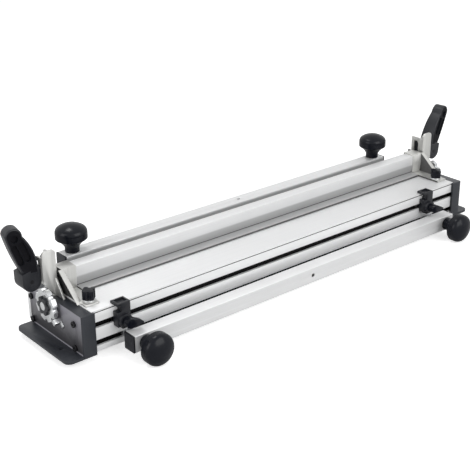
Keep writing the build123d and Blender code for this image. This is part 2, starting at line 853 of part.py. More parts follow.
def lever_grip():
    """Right lever's grip, thinner at the back towards its tip, with its front turned outwards."""
    half = grip_thickness / 2
    body = prism_y(grip_outline(), (-half, half))
    slope = (grip_thickness - grip_tip_thickness) / (lever_length - grip_taper_start)
    beyond = lever_length + lever_width
    taper = outline(
        (half, grip_taper_start),
        (half, beyond),
        (half - slope * (beyond - grip_taper_start), beyond),
    )
    body -= prism_x(taper, (-lever_length, lever_length))
    rims = body.edges().filter_by(lambda edge: abs(edge.center().Y + half) < 0.01)
    body = fillet(rims, grip_edge_radius)
    for face in grip_pockets():
        body -= prism_y(face, (-half, -half + grip_pocket_depth))
    return Rot(0, 0, grip_turn) * body


def cam_lever(lean):
    """Right cam lever, opened outwards by its lean, with a fork for the tie bolt's eye."""
    half = lever_thickness / 2
    body = prism_y(lever_cam(), (-half, half)) + lever_grip()
    body -= rod_y(0, (-half, half), 0, lever_pin_diameter)
    fork = tie_bolt_diameter / 2 + slide_gap
    room = tie_eye_diameter / 2 + slide_gap
    body -= block((-lever_width, room), (-fork, fork), (-lever_width, room))
    return Pos(pivot_x, tie_bolt_y, tie_bolt_z) * Rot(0, lean, 0) * body


def lever_pin():
    """Right cross pin of a cam lever."""
    half = lever_thickness / 2
    return rod_y(pivot_x, (tie_bolt_y - half, tie_bolt_y + half), tie_bolt_z, lever_pin_diameter)


def star_x():
    """Line of the star knobs, just clear of the gusset."""
    return gusset_inner_x - star_gusset_gap - (star_lobe_circle + star_lobe_diameter) / 2


def star_y():
    """How far back the star knobs stand."""
    return front_y + star_setback


star_seat = bracket_bottom + bracket_sheet
star_base = star_seat + star_washer_height + slide_gap


def star_washer():
    """Right washer under a star knob."""
    run = (star_seat, star_seat + star_washer_height)
    body = rod_z(star_x(), star_y(), run, star_washer_diameter)
    return body - rod_z(star_x(), star_y(), run, star_stud_diameter + 2 * running_gap)


def star_knob():
    """Right star knob with its lobes."""
    face = lobed(star_core_diameter, star_lobe_diameter, star_lobe_circle, star_lobes)
    body = extrude(face, amount=star_height)
    body -= rod_z(0, 0, (0, star_height / 2), star_stud_diameter)
    return Pos(star_x(), star_y(), star_base) * body


def star_stud():
    """Right stud of a star knob, down to the underside of the flange."""
    return rod_z(star_x(), star_y(), (bracket_bottom, star_base + star_height / 2), star_stud_diameter)


index_y = front_y + index_setback
index_z = cheek_height - index_drop
index_disc_x = half_span + index_disc_stand_off
index_knob_x = index_disc_x + index_disc_thickness


def index_disc():
    """Right notched disc of an index wheel."""
    face = Circle(index_disc_diameter / 2) - Circle(index_axle_diameter / 2 + running_gap)
    for index in range(index_notches):
        angle = 2 * pi * index / index_notches + radians(index_clip_angle)
        rim = index_disc_diameter / 2
        face -= Pos(rim * cos(angle), rim * sin(angle)) * Circle(index_notch_diameter / 2)
    return prism_x(Pos(index_y, index_z) * face, (index_disc_x, index_knob_x))


def index_knob():
    """Right lobed knob of an index wheel, recessed for the axle's head."""
    face = lobed(index_knob_core, index_knob_lobe_diameter, index_knob_lobe_circle, index_knob_lobes)
    far = index_knob_x + index_knob_height
    body = prism_x(Pos(index_y, index_z) * face, (index_knob_x, far))
    body -= rod_x((index_knob_x, far), index_y, index_z, index_axle_diameter + 2 * running_gap)
    recess = (far - index_axle_head_height - slide_gap, far)
    return body - rod_x(recess, index_y, index_z, index_axle_head_diameter + 2 * slide_gap)


def index_axle():
    """Right axle screw with a shoulder that stands the disc off the cheek."""
    far = index_knob_x + index_knob_height
    shaft = rod_x((web_inner_x, far), index_y, index_z, index_axle_diameter)
    shoulder = rod_x((half_span, index_disc_x - slide_gap), index_y, index_z, index_axle_head_diameter)
    head = rod_x((far - index_axle_head_height, far), index_y, index_z, index_axle_head_diameter)
    return shaft + shoulder + head


def index_clip():
    """Right detent clip: a bent strip on the cheek whose nose faces a notch in the disc."""
    nose = index_disc_diameter / 2 + index_clip_gap
    tail = nose + index_clip_length
    half_width = index_clip_width / 2
    strip = block((half_span, index_knob_x), (nose, tail), (-half_width, half_width))
    tail_x = (half_span + index_disc_stand_off / 2, index_knob_x)
    strip -= block(tail_x, ((nose + tail) / 2, tail), (-half_width, half_width))
    return Pos(0, index_y, index_z) * Rot(index_clip_angle, 0, 0) * strip


stop_front_y = table_front_y - slide_gap - stop_thickness
stop_bottom = clamp_height + bar_width / 2 + stop_bar_gap
stop_top = table_top + slide_gap + stop_hook_height


def side_stop(x):
    """Side stop: notched body on the front face, hook over the table's edge, key in the slot."""
    half = stop_width / 2
    body = block((-half, half), (stop_front_y, table_front_y - slide_gap), (stop_bottom, stop_top))
    hook = block(
        (-half, half), (stop_front_y, table_front_y + stop_hook_reach), (table_top + slide_gap, stop_top)
    )
    body += hook
    body = fillet(body.edges().group_by(Axis.Z)[-1], stop_edge_radius)
    pocket = block(
        (-half + stop_pocket_wall, half - stop_pocket_wall),
        (stop_front_y + stop_pocket_wall, table_front_y + stop_hook_reach - stop_pocket_wall),
        (stop_top - stop_pocket_depth, stop_top),
    )
    body -= pocket
    waist_z = (table_top - stop_waist_height, table_top + slide_gap)
    leg_z = (stop_bottom, stop_bottom + stop_leg_height)
    for notch_z in (waist_z, leg_z):
        body -= block((-half, -half + stop_notch), (stop_front_y, table_front_y), notch_z)
    boss_y = (stop_front_y - stop_boss_height, stop_front_y)
    body += rod_y(0, boss_y, upper_slot_height, stop_boss_diameter)
    key_half = slot_opening / 2 - slide_gap
    body += block(
        (-half, half),
        (table_front_y - slide_gap, table_front_y + slot_lip),
        (upper_slot_height - key_half, upper_slot_height + key_half),
    )
    hole_y = (stop_front_y - stop_boss_height, table_front_y + slot_lip)
    body -= rod_y(0, hole_y, upper_slot_height, stop_screw_diameter + 2 * running_gap)
    return Pos(x, 0, 0) * body


def stop_nut(x):
    """Tee nut of a side stop."""
    half_height = slot_chamber_width / 2 - nut_gap
    run = (table_front_y + slot_lip + slide_gap, table_front_y + slot_depth - slide_gap)
    body = block(
        (-stop_nut_length / 2, stop_nut_length / 2),
        run,
        (upper_slot_height - half_height, upper_slot_height + half_height),
    )
    body -= rod_y(0, run, upper_slot_height, stop_screw_diameter + 2 * running_gap)
    return Pos(x, 0, 0) * body


def stop_screw(x):
    """Wing screw of a side stop: barrel, wing and shank."""
    back = stop_front_y - stop_boss_height - slide_gap
    barrel = Circle(wing_barrel_diameter / 2)
    tip = Pos(wing_reach - wing_tip_radius, -wing_droop) * Circle(wing_tip_radius)
    wing = make_hull(barrel.edges() + tip.edges())
    body = prism_y(Pos(0, upper_slot_height) * wing, (back - wing_height, back))
    shank_y = (back - wing_height / 2, table_front_y + slot_depth - slide_gap)
    body += rod_y(0, shank_y, upper_slot_height, stop_screw_diameter)
    return Pos(x, 0, 0) * body


def in_frame(shape, frame):
    """A clamp piece moved solid by solid into its place."""
    return group([frame * solid for solid in shape.solids()])


def clamp_nodes(name, frame, gap, closing_travel):
    """Every piece that both clamps have, set in its place."""
    nodes = {
        f"{name}_clamp_nuts": clamp_nuts(gap),
        f"{name}_clamp_studs": clamp_studs(gap, closing_travel),
        f"{name}_clamp_bar": clamp_bar(),
        f"{name}_bar_caps": clamp_caps(),
    }
    for side_name, x in zip(SIDES, stud_places):
        nodes[f"{name}_{side_name}_knob"] = clamp_knob(x)
        nodes[f"{name}_{side_name}_knob_bush"] = clamp_bush(x)
    return {node: in_frame(shape, frame) for node, shape in nodes.items()}


def end_nodes(name, side, lean):
    """The pieces that both ends of the bench have."""
    shapes = {
        "cheek": cheek(),
        "upright": upright(),
        "beam_bracket": beam_bracket(),
        "guide_block": guide_block(),
        "tie_bolt": tie_bolt(),
        "cam_lever": cam_lever(lean),
        "lever_pin": lever_pin(),
        "star_knob": star_knob(),
        "star_stud": star_stud(),
        "index_disc": index_disc(),
        "index_knob": index_knob(),
    }
    return {f"{name}_{piece}": on_side(shape, side) for piece, shape in shapes.items()}


def stop_nodes(name, x):
    """The pieces of one side stop."""
    return {
        f"{name}_side_stop": side_stop(x),
        f"{name}_stop_nut": stop_nut(x),
        f"{name}_stop_screw": stop_screw(x),
    }


nodes = {
    "table_extrusion": table_extrusion(),
    "cheek_screws": cheek_screws(),
    "upright_screws": upright_screws(),
    "template_beam": template_beam(),
    "bracket_screws": bracket_screws(),
    "star_washers": group([on_side(star_washer(), side) for side in SIDES.values()]),
    "index_axles": group([on_side(index_axle(), side) for side in SIDES.values()]),
    "index_clips": group([on_side(index_clip(), side) for side in SIDES.values()]),
}
nodes["front_clamp_springs"] = in_frame(clamp_springs(), front_clamp_frame)
nodes.update(clamp_nodes("front", front_clamp_frame, front_bar_gap, front_closing_travel))
nodes.update(clamp_nodes("rear", rear_clamp_frame, rear_bar_gap, rear_closing_travel))
nodes.update(end_nodes("left", LEFT, left_lever_lean))
nodes.update(end_nodes("right", RIGHT, right_lever_lean))
nodes.update(stop_nodes("left", left_stop_inset - half_span))
nodes.update(stop_nodes("right", half_span - right_stop_inset))

os.makedirs("parts", exist_ok=True)
for node, shape in nodes.items():
    export_step(shape, f"parts/{node}.step")
print(len(nodes), "nodes")
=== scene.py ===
import logging
import math
from dataclasses import dataclass, field
from enum import Enum
from typing import ClassVar, Iterable, Sequence

import bmesh
import bpy
from mathutils import Matrix, Vector


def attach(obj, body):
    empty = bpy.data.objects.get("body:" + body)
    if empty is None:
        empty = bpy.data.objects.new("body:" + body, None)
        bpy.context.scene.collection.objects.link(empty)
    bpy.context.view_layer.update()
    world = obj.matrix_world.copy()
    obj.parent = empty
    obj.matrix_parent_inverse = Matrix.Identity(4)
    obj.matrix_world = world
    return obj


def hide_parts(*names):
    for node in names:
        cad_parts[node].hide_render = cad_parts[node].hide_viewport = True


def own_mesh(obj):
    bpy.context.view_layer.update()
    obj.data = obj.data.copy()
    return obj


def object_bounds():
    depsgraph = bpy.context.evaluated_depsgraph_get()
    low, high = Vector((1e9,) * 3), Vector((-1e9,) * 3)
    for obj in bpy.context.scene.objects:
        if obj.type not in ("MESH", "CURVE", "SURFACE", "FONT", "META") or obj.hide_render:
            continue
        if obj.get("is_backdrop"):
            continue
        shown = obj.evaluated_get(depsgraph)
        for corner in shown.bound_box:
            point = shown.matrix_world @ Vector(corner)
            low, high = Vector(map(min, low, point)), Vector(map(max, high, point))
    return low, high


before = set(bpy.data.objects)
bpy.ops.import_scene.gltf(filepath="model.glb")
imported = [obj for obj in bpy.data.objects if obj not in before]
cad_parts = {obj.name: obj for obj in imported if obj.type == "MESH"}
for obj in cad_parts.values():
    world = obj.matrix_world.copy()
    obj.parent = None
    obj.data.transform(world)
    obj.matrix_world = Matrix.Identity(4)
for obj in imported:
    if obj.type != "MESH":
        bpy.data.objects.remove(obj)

log = logging.getLogger("joint_bench")

Pair = tuple[float, float]
Triple = tuple[float, float, float]
# A box, as its low and its high corner.
Room = tuple[Triple, Triple]

MM = 0.001
WHITE = (1.0, 1.0, 1.0, 1.0)
# Points closer than this, in metres, become one point. A copy of a CAD mesh needs a little more.
WELD_DISTANCE = 1e-6
CAD_WELD_DISTANCE = 2e-6
# Faces of a CAD copy that turn by less than this, in degrees, become one flat face.
FLAT_ANGLE = 0.6
# Two directions count as the same when their cosine is larger than this.
SAME_WAY = 0.99
# How far a box reaches to both sides of the flat face that it picks out.
SKIN = 0.2 * MM
# Steps across a broken edge: a plain one, a rounder one and the star knob's.
PLAIN_STEPS = 2
ROUND_STEPS = 3
STAR_STEPS = 4
# Planes and distances that place the clamps.
TABLE_FRONT = -36.0 * MM
TABLE_TOP = 64.0 * MM
FRONT_GAP = 16.0 * MM
REAR_GAP = 2.0 * MM
FRONT_STUD_HEIGHT = 15.0 * MM
REAR_STUD_ROW = 102.5 * MM
FRONT_STUD_TIP = 45.6 * MM
REAR_STUD_TIP = 56.1 * MM
STUD_HALF_SPAN = 313.0 * MM
# Broken edge of the index axles and clips.
PIN_EDGE = 0.4 * MM
# Room between the object's lowest point and the floor.
FLOOR_GAP = 0.5 * MM


class Side(Enum):
    """Which end of the bench a piece stands at."""

    LEFT = -1
    RIGHT = 1

    @property
    def word(self) -> str:
        """The side's word in the names of nodes and bodies."""
        return self.name.lower()


class Grain(Enum):
    """Way that the fine marks of a finish run.

    Each value is how often the marks change along X, Y and Z per metre.
    """

    ALONG_X = (3.0, 700.0, 700.0)
    ALONG_Z = (500.0, 500.0, 12.0)
    EVEN = (900.0, 900.0, 900.0)


@dataclass(frozen=True)
class Finish:
    """A surface with fine marks along its grain and soft clouds across it.

    The colour and the roughness follow both noises, so marks that look darker also reflect a
    little differently. The bump follows the marks alone.
    """

    name: str
    slot: str
    colour: Triple
    metallic: float
    roughness: float
    grain: Grain
    shade: float = 0.08
    roughness_spread: float = 0.06
    bump: float = 0.05
    coat: float = 0.0
    specular: float = 0.5
    cloud_scale: float = 14.0

    coat_roughness: ClassVar[float] = 0.18
    least_roughness: ClassVar[float] = 0.05
    mark_detail: ClassVar[float] = 3.0
    cloud_detail: ClassVar[float] = 4.0
    cloud_share: ClassVar[float] = 0.45
    noise_low: ClassVar[float] = 0.3
    noise_high: ClassVar[float] = 0.7
    bump_depth: ClassVar[float] = 0.4 * MM
    made: ClassVar[dict[str, bpy.types.Material]] = {}

    def material(self) -> bpy.types.Material:
        """The finish as a Blender material, made once.

        Returns:
            The material with its node tree.
        """
        if self.name not in Finish.made:
            Finish.made[self.name] = self._build()
        return Finish.made[self.name]

    def _tint(self, factor: float) -> tuple[float, float, float, float]:
        """The finish's colour, lighter or darker by a factor."""
        red, green, blue = (min(1.0, part * factor) for part in self.colour)
        return (red, green, blue, 1.0)

    def _build(self) -> bpy.types.Material:
        """Builds the node tree.

        Returns:
            A new material.
        """
        material = bpy.data.materials.new(self.name)
        material.use_nodes = True
        nodes = material.node_tree.nodes
        links = material.node_tree.links
        shader = nodes["Principled BSDF"]
        shader.inputs["Metallic"].default_value = self.metallic
        shader.inputs["Specular IOR Level"].default_value = self.specular
        shader.inputs["Coat Weight"].default_value = self.coat
        shader.inputs["Coat Roughness"].default_value = self.coat_roughness
        place = nodes.new("ShaderNodeTexCoord")
        marks, blend = self._noises(nodes, links, place)
        ramp = nodes.new("ShaderNodeValToRGB")
        darker, lighter = ramp.color_ramp.elements
        darker.position = self.noise_low
        darker.color = self._tint(1.0 - self.shade)
        lighter.position = self.noise_high
        lighter.color = self._tint(1.0 + self.shade)
        links.new(blend, ramp.inputs["Fac"])
        colour = self._colour_socket(nodes, links, place, ramp.outputs["Color"])
        links.new(colour, shader.inputs["Base Color"])
        rough = nodes.new("ShaderNodeMapRange")
        rough.inputs["From Min"].default_value = self.noise_low
        rough.inputs["From Max"].default_value = self.noise_high
        smoothest = max(self.least_roughness, self.roughness - self.roughness_spread)
        rough.inputs["To Min"].default_value = smoothest
        rough.inputs["To Max"].default_value = self.roughness + self.roughness_spread
        links.new(blend, rough.inputs["Value"])
        links.new(rough.outputs["Result"], shader.inputs["Roughness"])
        bump = nodes.new("ShaderNodeBump")
        bump.inputs["Strength"].default_value = self.bump
        bump.inputs["Distance"].default_value = self.bump_depth
        links.new(marks, bump.inputs["Height"])
        links.new(bump.outputs["Normal"], shader.inputs["Normal"])
        return material

    def _noises(
        self, nodes: bpy.types.Nodes, links: bpy.types.NodeLinks, place: bpy.types.Node
    ) -> tuple[bpy.types.NodeSocket, bpy.types.NodeSocket]:
        """Makes the fine marks and their blend with the soft clouds.

        Args:
            nodes: The material's nodes.
            links: The material's links.
            place: The texture coordinate node.

        Returns:
            The sockets of the marks alone and of the blend.
        """
        stretch = nodes.new("ShaderNodeMapping")
        stretch.inputs["Scale"].default_value = self.grain.value
        links.new(place.outputs["Object"], stretch.inputs["Vector"])
        marks = nodes.new("ShaderNodeTexNoise")
        marks.inputs["Scale"].default_value = 1.0
        marks.inputs["Detail"].default_value = self.mark_detail
        links.new(stretch.outputs["Vector"], marks.inputs["Vector"])
        clouds = nodes.new("ShaderNodeTexNoise")
        clouds.inputs["Scale"].default_value = self.cloud_scale
        clouds.inputs["Detail"].default_value = self.cloud_detail
        links.new(place.outputs["Object"], clouds.inputs["Vector"])
        blend = nodes.new("ShaderNodeMix")
        blend.data_type = "FLOAT"
        blend.inputs["Factor"].default_value = self.cloud_share
        links.new(marks.outputs["Fac"], blend.inputs["A"])
        links.new(clouds.outputs["Fac"], blend.inputs["B"])
        return marks.outputs["Fac"], blend.outputs["Result"]

    def _colour_socket(
        self,
        nodes: bpy.types.Nodes,
        links: bpy.types.NodeLinks,
        place: bpy.types.Node,
        colour: bpy.types.NodeSocket,
    ) -> bpy.types.NodeSocket:
        """Lets a special finish add to the colour; the plain one passes it on."""
        return colour


@dataclass(frozen=True)
class BandedFinish(Finish):
    """A finish that is shaded by height, as a face that leans away from the light is.

    Each band is a height in metres and what the colour is multiplied by there.
    """

    bands: tuple[Pair, ...] = ()

    def _colour_socket(
        self,
        nodes: bpy.types.Nodes,
        links: bpy.types.NodeLinks,
        place: bpy.types.Node,
        colour: bpy.types.NodeSocket,
    ) -> bpy.types.NodeSocket:
        """Shades the colour by the bands.

        Args:
            nodes: The material's nodes.
            links: The material's links.
            place: The texture coordinate node.
            colour: The colour so far.

        Returns:
            The socket with the banded colour.
        """
        split = nodes.new("ShaderNodeSeparateXYZ")
        links.new(place.outputs["Object"], split.inputs["Vector"])
        low, high = self.bands[0][0], self.bands[-1][0]
        height = nodes.new("ShaderNodeMapRange")
        height.inputs["From Min"].default_value = low
        height.inputs["From Max"].default_value = high
        links.new(split.outputs["Z"], height.inputs["Value"])
        ramp = nodes.new("ShaderNodeValToRGB")
        stops = ramp.color_ramp.elements
        while len(stops) < len(self.bands):
            stops.new(1.0)
        for stop, (level, share) in zip(stops, self.bands):
            stop.position = (level - low) / (high - low)
            stop.color = (share, share, share, 1.0)
        links.new(height.outputs["Result"], ramp.inputs["Fac"])
        shaded = nodes.new("ShaderNodeMix")
        shaded.data_type = "RGBA"
        shaded.blend_type = "MULTIPLY"
        shaded.inputs["Factor"].default_value = 1.0
        links.new(colour, shaded.inputs["A"])
        links.new(ramp.outputs["Color"], shaded.inputs["B"])
        return shaded.outputs["Result"]


ANODISED = Finish(
    "satin_anodised_aluminium",
    "anodised_aluminium",
    colour=(0.86, 0.865, 0.87),
    metallic=0.2,
    roughness=0.42,
    grain=Grain.ALONG_X,
    shade=0.035,
)


def aluminium_with_painted_shade(name: str, bands: tuple[Pair, ...]) -> BandedFinish:
    """The anodised finish of the table, with its own bands of painted shade and light.

    Args:
        name: Name of the finish.
        bands: Heights in metres and what the colour is multiplied by there.

    Returns:
        The new finish.
    """
    return BandedFinish(
        name,
        ANODISED.slot,
        colour=ANODISED.colour,
        metallic=ANODISED.metallic,
        roughness=ANODISED.roughness,
        grain=ANODISED.grain,
        shade=ANODISED.shade,
        bands=bands,
    )


# Painted shade and light by height, from below: painted shade on the nose of the lip, its lit top,
# a painted shadow line behind it, the lower face darker as it leans from the light, the upper face
# and the top, lightest.
BEAM_PAINTED_SHADE = aluminium_with_painted_shade(
    "beam_aluminium_painted_shade",
    bands=(
        (64.8 * MM, 0.06),
        (66.8 * MM, 0.10),
        (67.9 * MM, 0.62),
        (68.05 * MM, 0.62),
        (68.15 * MM, 0.06),
        (69.3 * MM, 0.06),
        (69.6 * MM, 0.38),
        (80.0 * MM, 0.48),
        (83.0 * MM, 0.82),
        (97.2 * MM, 0.86),
        (97.8 * MM, 1.0),
    ),
)
# From below: front face in painted shade and top in painted light, for each clamping bar.
REAR_BAR_PAINTED_SHADE = aluminium_with_painted_shade(
    "rear_bar_aluminium",
    bands=((60.0 * MM, 0.5), (84.0 * MM, 0.5), (87.0 * MM, 1.0), (88.0 * MM, 1.0)),
)
FRONT_BAR_PAINTED_LIGHT = aluminium_with_painted_shade(
    "front_bar_aluminium",
    bands=((2.5 * MM, 0.84), (26.6 * MM, 0.86), (27.3 * MM, 1.1)),
)
# Painted shade inside the slots and the edge groove, where the light doesn't reach.
SLOT_PAINTED_SHADE = Finish(
    "slot_inside_painted_shade",
    "anodised_aluminium",
    colour=(0.012, 0.012, 0.013),
    metallic=0.2,
    roughness=0.7,
    grain=Grain.ALONG_X,
    specular=0.1,
)
POWDER_COAT = Finish(
    "black_powder_coat",
    "black_powder_coat",
    colour=(0.022, 0.025, 0.032),
    metallic=0.0,
    roughness=0.42,
    grain=Grain.EVEN,
    shade=0.12,
    bump=0.16,
    specular=0.45,
)
# Painted highlight and sheen, from below: a painted highlight along the bend, then the web with a
# painted sheen that gets lighter upwards.
CHEEK_PAINTED_SHEEN = BandedFinish(
    "powder_coat_painted_sheen",
    "black_powder_coat",
    colour=(0.25, 0.245, 0.275),
    metallic=0.0,
    roughness=0.36,
    grain=Grain.EVEN,
    shade=0.10,
    bump=0.10,
    bands=(
        (4.0 * MM, 1.4),
        (6.0 * MM, 1.4),
        (6.6 * MM, 0.15),
        (20.0 * MM, 0.22),
        (40.0 * MM, 0.60),
        (56.0 * MM, 1.0),
    ),
)
ZINC = Finish(
    "zinc_plated_sheet",
    "zinc_steel",
    colour=(0.62, 0.62, 0.60),
    metallic=0.6,
    roughness=0.36,
    grain=Grain.ALONG_Z,
    shade=0.10,
    roughness_spread=0.1,
)
ZINC_SMALL = Finish(
    "zinc_plated_hardware",
    "zinc_steel",
    colour=(0.66, 0.67, 0.68),
    metallic=0.9,
    roughness=0.28,
    grain=Grain.EVEN,
    cloud_scale=80.0,
)
# Painted shade on the bracket faces that look away from the light.
ZINC_PAINTED_SHADE = Finish(
    "zinc_painted_shade",
    "zinc_steel",
    colour=(0.10, 0.10, 0.10),
    metallic=0.5,
    roughness=0.6,
    grain=Grain.ALONG_Z,
    shade=0.2,
    specular=0.2,
)
BLACK_OXIDE = Finish(
    "black_oxide_screws",
    "black_steel",
    colour=(0.012, 0.012, 0.014),
    metallic=0.4,
    roughness=0.45,
    grain=Grain.EVEN,
    shade=0.15,
    specular=0.3,
)
SPRING_WIRE = Finish(
    "bright_spring_wire",
    "spring_steel",
    colour=(0.60, 0.61, 0.63),
    metallic=1.0,
    roughness=0.26,
    grain=Grain.EVEN,
)
BRASS = Finish(
    "turned_brass",
    "brass_bush",
    colour=(0.72, 0.55, 0.26),
    metallic=1.0,
    roughness=0.28,
    grain=Grain.EVEN,
    shade=0.06,
)
KNOB_PLASTIC = Finish(
    "satin_black_knob",
    "black_plastic",
    colour=(0.005, 0.006, 0.010),
    metallic=0.0,
    roughness=0.36,
    grain=Grain.EVEN,
    shade=0.15,
    bump=0.04,
    coat=0.30,
    specular=0.05,
)
GRIP_PLASTIC = Finish(
    "moulded_black_grip",
    "black_plastic",
    colour=(0.009, 0.010, 0.014),
    metallic=0.0,
    roughness=0.42,
    grain=Grain.EVEN,
    shade=0.15,
    bump=0.12,
    specular=0.40,
)
# Painted shade in the sunk pockets of the lever grips.
POCKET_PAINTED_SHADE = Finish(
    "shaded_grip_pocket",
    "black_plastic",
    colour=(0.003, 0.003, 0.005),
    metallic=0.0,
    roughness=0.55,
    grain=Grain.EVEN,
    shade=0.15,
    specular=0.12,
)


def add_object(name: str, mesh: bpy.types.Mesh) -> bpy.types.Object:
    """Puts a mesh in the scene at the origin.

    Args:
        name: Name of the piece.
        mesh: Its mesh, with its place in the vertices.

    Returns:
        The new object.
    """
    piece = bpy.data.objects.new(name, mesh)
    bpy.context.scene.collection.objects.link(piece)
    return piece


def mesh_from(shape: bmesh.types.BMesh, name: str) -> bpy.types.Mesh:
    """Turns a bmesh into a mesh with its normals outwards, and frees it.

    Args:
        shape: The bmesh, which can't be used afterwards.
        name: Name of the mesh.

    Returns:
        The new mesh.
    """
    bmesh.ops.remove_doubles(shape, verts=shape.verts, dist=WELD_DISTANCE)
    bmesh.ops.recalc_face_normals(shape, faces=shape.faces)
    mesh = bpy.data.meshes.new(name)
    shape.to_mesh(mesh)
    shape.free()
    return mesh


def baked(piece: bpy.types.Object) -> None:
    """Replaces a piece's mesh by what its modifiers make of it, and removes them.

    Args:
        piece: The piece with its modifiers.
    """
    graph = bpy.context.evaluated_depsgraph_get()
    mesh = bpy.data.meshes.new_from_object(piece.evaluated_get(graph))
    piece.modifiers.clear()
    piece.data = mesh


def softened(
    piece: bpy.types.Object, width: float, segments: int = PLAIN_STEPS, angle: float = 32.0
) -> bpy.types.Object:
    """Breaks a piece's sharp edges and shades the rest smooth.

    Args:
        piece: The piece to finish.
        width: Width of the broken edge in metres.
        segments: Steps across the edge.
        angle: Edges sharper than this, in degrees, are broken.

    Returns:
        The same piece.
    """
    bevel = piece.modifiers.new("broken_edges", "BEVEL")
    bevel.width = width
    bevel.segments = segments
    bevel.limit_method = "ANGLE"
    bevel.angle_limit = math.radians(angle)
    bevel.use_clamp_overlap = True
    bevel.miter_outer = "MITER_ARC"
    baked(piece)
    piece.data.shade_smooth()
    piece.data.set_sharp_from_angle(angle=math.radians(angle))
    return piece


def cad_copy(node: str, name: str) -> bpy.types.Object:
    """A merged copy of a CAD node, with its flat faces whole again.

    Args:
        node: Name of the CAD node.
        name: Name of the new piece.

    Returns:
        The copy.
    """
    shape = bmesh.new()
    shape.from_mesh(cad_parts[node].data)
    bmesh.ops.remove_doubles(shape, verts=shape.verts, dist=CAD_WELD_DISTANCE)
    bmesh.ops.dissolve_limit(
        shape,
        angle_limit=math.radians(FLAT_ANGLE),
        verts=shape.verts,
        edges=shape.edges,
        delimit={"NORMAL"},
    )
    mesh = bpy.data.meshes.new(name)
    shape.to_mesh(mesh)
    shape.free()
    return add_object(name, mesh)


def dress(piece: bpy.types.Object, finish: Finish, body: str, *nodes: str) -> bpy.types.Object:
    """Gives a finished piece its material, its body and the CAD nodes that it stands for.

    Args:
        piece: The piece.
        finish: Its surface.
        body: The CAD body that carries it.
        *nodes: CAD nodes that it replaces.

    Returns:
        The same piece.
    """
    piece.data.materials.clear()
    piece.data.materials.append(finish.material())
    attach(piece, body)
    if nodes:
        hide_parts(*nodes)
    log.info("%s rides on %s and stands for %s", piece.name, body, ", ".join(nodes) or "nothing")
    return piece


def dress_copy(
    node: str, finish: Finish, body: str, edge: float, segments: int = PLAIN_STEPS
) -> bpy.types.Object:
    """A CAD node's copy with broken edges, dressed and put in its place.

    Args:
        node: Name of the CAD node.
        finish: Its surface.
        body: The CAD body that carries it.
        edge: Width of its broken edges in metres.
        segments: Steps across an edge.

    Returns:
        The dressed copy.
    """
    piece = softened(cad_copy(node, f"{node}_dressed"), edge, segments)
    return dress(piece, finish, body, node)


def paint_inside(piece: bpy.types.Object, finish: Finish, rooms: Sequence[Room]) -> None:
    """Gives the faces inside some boxes another finish.

    Args:
        piece: The dressed piece.
        finish: The finish of those faces.
        rooms: Low and high corner of each box.
    """
    piece.data.materials.append(finish.material())
    for face in piece.data.polygons:
        for low, high in rooms:
            if all(least <= part <= most for least, part, most in zip(low, face.center, high)):
                face.material_index = len(piece.data.materials) - 1


def paint_floors(piece: bpy.types.Object, finish: Finish, way: Vector, depth: float) -> None:
    """Gives the sunk faces of a piece's front another finish.

    Args:
        piece: The dressed piece.
        finish: The finish of those faces.
        way: The way that the front looks.
        depth: Faces that lie deeper than this below the front are sunk, in metres.
    """
    piece.data.materials.append(finish.material())
    facing = [face for face in piece.data.polygons if face.normal.dot(way) > SAME_WAY]
    front = max(face.center.dot(way) for face in facing)
    for face in facing:
        if front - face.center.dot(way) > depth:
            face.material_index = len(piece.data.materials) - 1


def dress_node(node: str, finish: Finish) -> None:
    """Gives a CAD node that stays as it is a better material.

    Args:
        node: Name of the CAD node.
        finish: Its surface.
    """
    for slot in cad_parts[node].material_slots:
        slot.link = "OBJECT"
        slot.material = finish.material()
    log.info("%s stays, in %s", node, finish.name)


def add_lathe(
    shape: bmesh.types.BMesh, profile: Sequence[Pair], place: Matrix, steps: int = 96
) -> None:
    """Turns a profile about its axis and adds it to a bmesh.

    Args:
        shape: The bmesh that takes the turned form.
        profile: (radius, height) in metres, from one end of the axis to the other.
        place: Where the axis stands; the profile's height runs along its Z.
        steps: Facets round the axis.
    """
    rings: list[list[bmesh.types.BMVert]] = []
    for radius, height in profile:
        if radius < WELD_DISTANCE:
            rings.append([shape.verts.new(place @ Vector((0.0, 0.0, height)))])
            continue
        ring = []
        for step in range(steps):
            angle = 2 * math.pi * step / steps
            spot = Vector((radius * math.cos(angle), radius * math.sin(angle), height))
            ring.append(shape.verts.new(place @ spot))
        rings.append(ring)
    for low, high in zip(rings, rings[1:]):
        for step in range(steps):
            after = (step + 1) % steps
            corners = [
                low[step % len(low)],
                low[after % len(low)],
                high[after % len(high)],
                high[step % len(high)],
            ]
            unique = list(dict.fromkeys(corners))
            if len(unique) > 2:
                shape.faces.new(unique)


def arc(centre: Pair, radius: float, start: float, end: float, steps: int) -> list[Pair]:
    """Points on a circle between two angles in degrees, both ends included."""
    angles = [math.radians(start + (end - start) * step / steps) for step in range(steps + 1)]
    return [(centre[0] + radius * math.cos(a), centre[1] + radius * math.sin(a)) for a in angles]


def add_tube(
    shape: bmesh.types.BMesh, line: Sequence[Vector], radius: float, sides: int = 14
) -> None:
    """Sweeps a round wire along a line, with closed ends.

    Args:
        shape: The bmesh that takes the wire.
        line: Points along the wire.
        radius: Half the wire's thickness.
        sides: Facets round the wire.
    """
    rings = []
    side = Vector((1.0, 0.0, 0.0))
    for index, spot in enumerate(line):
        before = line[max(index - 1, 0)]
        after = line[min(index + 1, len(line) - 1)]
        way = (after - before).normalized()
        side = (side - way * side.dot(way)).normalized()
        other = way.cross(side)
        ring = []
        for step in range(sides):
            angle = 2 * math.pi * step / sides
            outward = side * math.cos(angle) + other * math.sin(angle)
            ring.append(shape.verts.new(spot + radius * outward))
        rings.append(ring)
    for low, high in zip(rings, rings[1:]):
        for step in range(sides):
            after = (step + 1) % sides
            shape.faces.new([low[step], low[after], high[after], high[step]])
    shape.faces.new(list(reversed(rings[0])))
    shape.faces.new(rings[-1])


